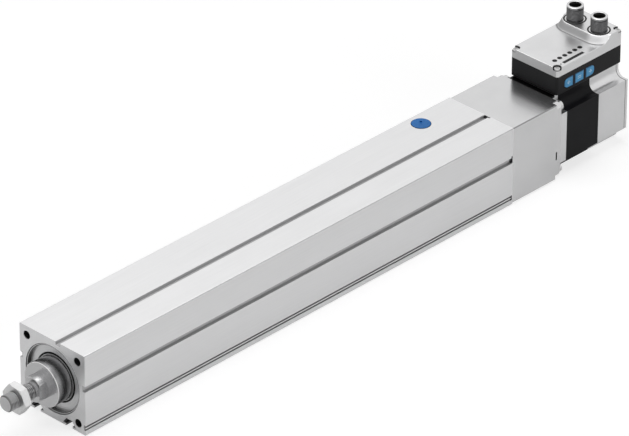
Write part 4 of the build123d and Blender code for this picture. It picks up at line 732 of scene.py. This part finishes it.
# metres, for the cover's painted shade and highlight; crest, hollow and foot are distances from the connectors' line,
# and soft is how far a painted edge fades
coverShade = {"slope": 0.52, "slopeRoughness": 0.6, "slopeSoft": 0.0004, "crest": 0.0086, "foot": 0.0131,
              "hollow": 0.0115, "hollowSoft": 0.0006, "deep": 0.78, "glint": 0.4, "glintFrom": -0.003,
              "glintTo": 0.001, "aheadSoft": 0.0005, "sideMargin": (0.0003, 0.0001), "front": 0.34,
              "frontSkin": (0.0002, 0.0001), "deckSkin": (0.0002, 0.0001), "recessEdge": (0.00008, 0.00002),
              "recessSkin": (0.00008, 0.00002), "frame": 0.0003, "lampMargin": 0.0005, "soft": 0.00005,
              "black": (0.010, 0.010, 0.011, 1.0), "grey": (0.05, 0.05, 0.05, 1.0)}


def coverFinish(recesses, values, shades):
    # the cast finish, with painted shade on the platform's slope and its foot and on the front wall, a painted
    # highlight by the near connector, black painted shade in the screw recesses, and black in a thin frame round the
    # display and in the lamps' rims
    look, soft = castLooks["cast_aluminium"], shades["soft"]
    made = castMetal("coverCastMetal", look)
    low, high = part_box("controller_cover")
    sunk, radius = values["recessDepth"] / 1000.0, values["recess"] / 1000.0
    deckTop = low[2] + values["frontHeight"] / 1000.0
    aboveDeck = made.z.rise(*[deckTop - skin for skin in shades["deckSkin"]])
    black = []
    # black painted shade in the screw recesses
    for index, place in enumerate(recesses):
        gap = made.distance(made.x, made.y, (place[0] / 1000.0, place[1] / 1000.0))
        level = (deckTop if index < 2 else high[2]) - sunk
        ring = gap.fall(radius - shades["recessEdge"][0], radius + shades["recessEdge"][1])
        black.append(ring * made.z.rise(*[level - skin for skin in shades["recessSkin"]]))
    windowLow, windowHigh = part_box("display_window")
    margin = shades["frame"]
    along = made.x.within(windowLow[0] - margin, windowHigh[0] - displayFace["dotStep"] + margin, soft)
    black.append(along * made.y.within(windowLow[1] - margin, windowHigh[1] + margin, soft) * aboveDeck)
    lensLow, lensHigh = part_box("lamp_lenses")
    lensX, lensY = middleOf("lamp_lenses")[:2]
    turns = ((made.x - lensX) / lampFace["pitch"]).math("FRACT")
    lens = made.distance((turns - 0.5) * lampFace["pitch"], made.y, (0.0, lensY))
    row = made.x.within(lensLow[0] - shades["lampMargin"], lensHigh[0] + shades["lampMargin"], soft)
    black.append(lens.fall(lampFace["rim"] - soft, lampFace["rim"]) * aboveDeck * row)
    black = strongest(black)

    # painted shade on the slope, deeper in the hollow at its foot, and on the front wall, eased by a painted highlight
    # by the near connector
    socketX, socketY = middleOf("signal_connector_shell")[:2]
    sideways = made.y.math("ABSOLUTE")
    beyond = (sideways - socketY).math("MAXIMUM", 0.0)
    reach = made.distance(made.x, beyond, (socketX, 0.0))
    ahead = made.x.rise(socketX, socketX + shades["aheadSoft"]) * aboveDeck
    ahead = ahead * sideways.fall(*[high[1] - inset for inset in shades["sideMargin"]])
    slope = reach.within(shades["crest"], shades["foot"], shades["slopeSoft"]) * ahead
    deep = reach.within(shades["hollow"], shades["foot"], shades["hollowSoft"]) * ahead
    glint = made.y.rise(socketY + shades["glintFrom"], socketY + shades["glintTo"]) * (1 - deep)
    wall = made.x.rise(*[high[0] - skin for skin in shades["frontSkin"]])
    grey = strongest([slope * (shades["slope"] - glint * shades["glint"]), deep * shades["deep"],
                      wall * shades["front"]])
    made.paint(grey, shades["grey"])
    made.paint(black, shades["black"])
    made.feed("Metallic", look["metallic"] * (1 - black))
    made.feed("Roughness", look["roughness"] + slope * (shades["slopeRoughness"] - look["roughness"]))
    return made.material


coverSurface, screwPlaces = coverPiece(coverCast)
coverSurface.data.materials.append(coverFinish(screwPlaces, coverCast, coverShade))
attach(coverSurface, "cylinder_body")
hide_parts("controller_cover")
print("cover:", len(coverSurface.data.polygons), "faces")


# floor, sky and lamps: each lamp has a size in metres, a power in watts and a place, and looks at aim
studio = {"floorSize": 40.0, "floorDrop": 0.0004, "lowest": -0.03, "floorGrey": 0.80, "floorRoughness": 0.9,
          "floorClouds": 3.0, "floorContrast": 0.01, "floorGlow": 0.55, "floorMirror": 0.22, "glowStrength": 1.35,
          "skyTop": 0.5, "skySide": 0.27, "skySpan": (-0.1, 0.9),
          "aim": (-0.24, 0.0, 0.0), "lamps": {"topSoftbox": (2.4, 34.0, (-0.25, -0.3, 2.0)),
                                              "sideSoftbox": (1.4, 14.0, (-0.5, 2.2, 1.0)),
                                              "frontSoftbox": (0.8, 3.0, (2.0, 0.2, 0.7))}}


def seenBy(graph, rays):
    # 1 for the named kinds of ray, and 0 for all others
    return strongest([graph.node("ShaderNodeLightPath", output=ray) for ray in rays])


world = bpy.data.worlds.new("studioSky")
bpy.context.scene.world = world
world.use_nodes = True
sky = Graph(world.node_tree)
generated = sky.node("ShaderNodeTexCoord", output="Generated")
upward = sky.node("ShaderNodeSeparateXYZ", inputs=[generated], output=2)
fade = sky.node("ShaderNodeMapRange", {}, [upward, *studio["skySpan"], studio["skySide"], studio["skyTop"]])
plain = world.node_tree.nodes["Background"]
world.node_tree.links.new(fade.socket, plain.inputs["Strength"])
white = sky.node("ShaderNodeBackground", {}, {"Color": (1, 1, 1, 1), "Strength": 1.0})
seesWhite = seenBy(sky, ["Is Camera Ray", "Is Glossy Ray", "Is Transmission Ray"])
sky.show(sky.node("ShaderNodeMixShader", {}, [seesWhite, Wire(sky, plain.outputs[0]), white]), "World Output")

floorLevel = min(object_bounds()[0][2], studio["lowest"]) - studio["floorDrop"]
half = studio["floorSize"] / 2
floorMesh = bpy.data.meshes.new("studio_floor")
floorMesh.from_pydata([(-half, -half, floorLevel), (half, -half, floorLevel), (half, half, floorLevel),
                       (-half, half, floorLevel)], [], [(0, 1, 2, 3)])
floor = bpy.data.objects.new("studio_floor", floorMesh)
bpy.context.scene.collection.objects.link(floor)
floorFinish = Finish("studioFloor", (studio["floorGrey"],) * 3, studio["floorRoughness"])
floorFinish.feed("Base Color", floorFinish.vary(floorFinish.noise(studio["floorClouds"]), studio["floorContrast"]))
cameraSees = seenBy(floorFinish, ["Is Camera Ray"])
metalSees = seenBy(floorFinish, ["Is Glossy Ray"])
share = cameraSees * studio["floorGlow"] + metalSees * studio["floorMirror"]
glow = floorFinish.node("ShaderNodeEmission", {}, {"Strength": studio["glowStrength"]})  # turns the grey floor white
floorShader = Wire(floorFinish, floorFinish.shader.outputs[0])
floorFinish.show(floorFinish.node("ShaderNodeMixShader", {}, [share, floorShader, glow]), "Material Output")
floorMesh.materials.append(floorFinish.material)


def lamp(name, size, energy, place, target):
    # a round lamp at its place, turned to look at the target
    data = bpy.data.lights.new(name, "AREA")
    data.shape = "DISK"
    data.size = size
    data.energy = energy
    made = bpy.data.objects.new(name, data)
    aim = np.array(target) - np.array(place)
    aim = aim / np.linalg.norm(aim)
    upright = abs(aim[2]) > 0.99  # straight down, where the cross product vanishes
    side = np.array((1.0, 0.0, 0.0)) if upright else np.cross(aim, (0.0, 0.0, 1.0))
    side = side / np.linalg.norm(side)
    turn = Matrix(np.array([side, np.cross(side, aim), -aim]).T.tolist()).to_4x4()
    made.matrix_world = Matrix.Translation(place) @ turn
    bpy.context.scene.collection.objects.link(made)


for name, (size, energy, place) in studio["lamps"].items():
    lamp(name, size, energy, place, studio["aim"])

# the photograph's camera, fitted to the barrel's straight edges; lens and sensor in millimetres
view = {"place": (2.33891, 2.49296, 2.18190), "right": (-0.6961, 0.7179, 0.0030), "down": (0.3692, 0.3615, -0.8561),
        "forward": (-0.6157, -0.5949, -0.5167), "lens": 361.19, "sensor": 36.0, "near": 0.1, "far": 100.0}
cameraData = bpy.data.cameras.new("photoCamera")
cameraData.sensor_width = view["sensor"]
cameraData.sensor_fit = "HORIZONTAL"
cameraData.lens = view["lens"]
cameraData.clip_start = view["near"]
cameraData.clip_end = view["far"]
camera = bpy.data.objects.new("photoCamera", cameraData)
axes = np.array([view["right"], [-v for v in view["down"]], [-v for v in view["forward"]]]).T
camera.matrix_world = Matrix.Translation(view["place"]) @ Matrix(axes.tolist()).to_4x4()
bpy.context.scene.collection.objects.link(camera)
bpy.context.scene.camera = camera
bpy.context.scene.view_settings.view_transform = "Standard"
print("studio ready")
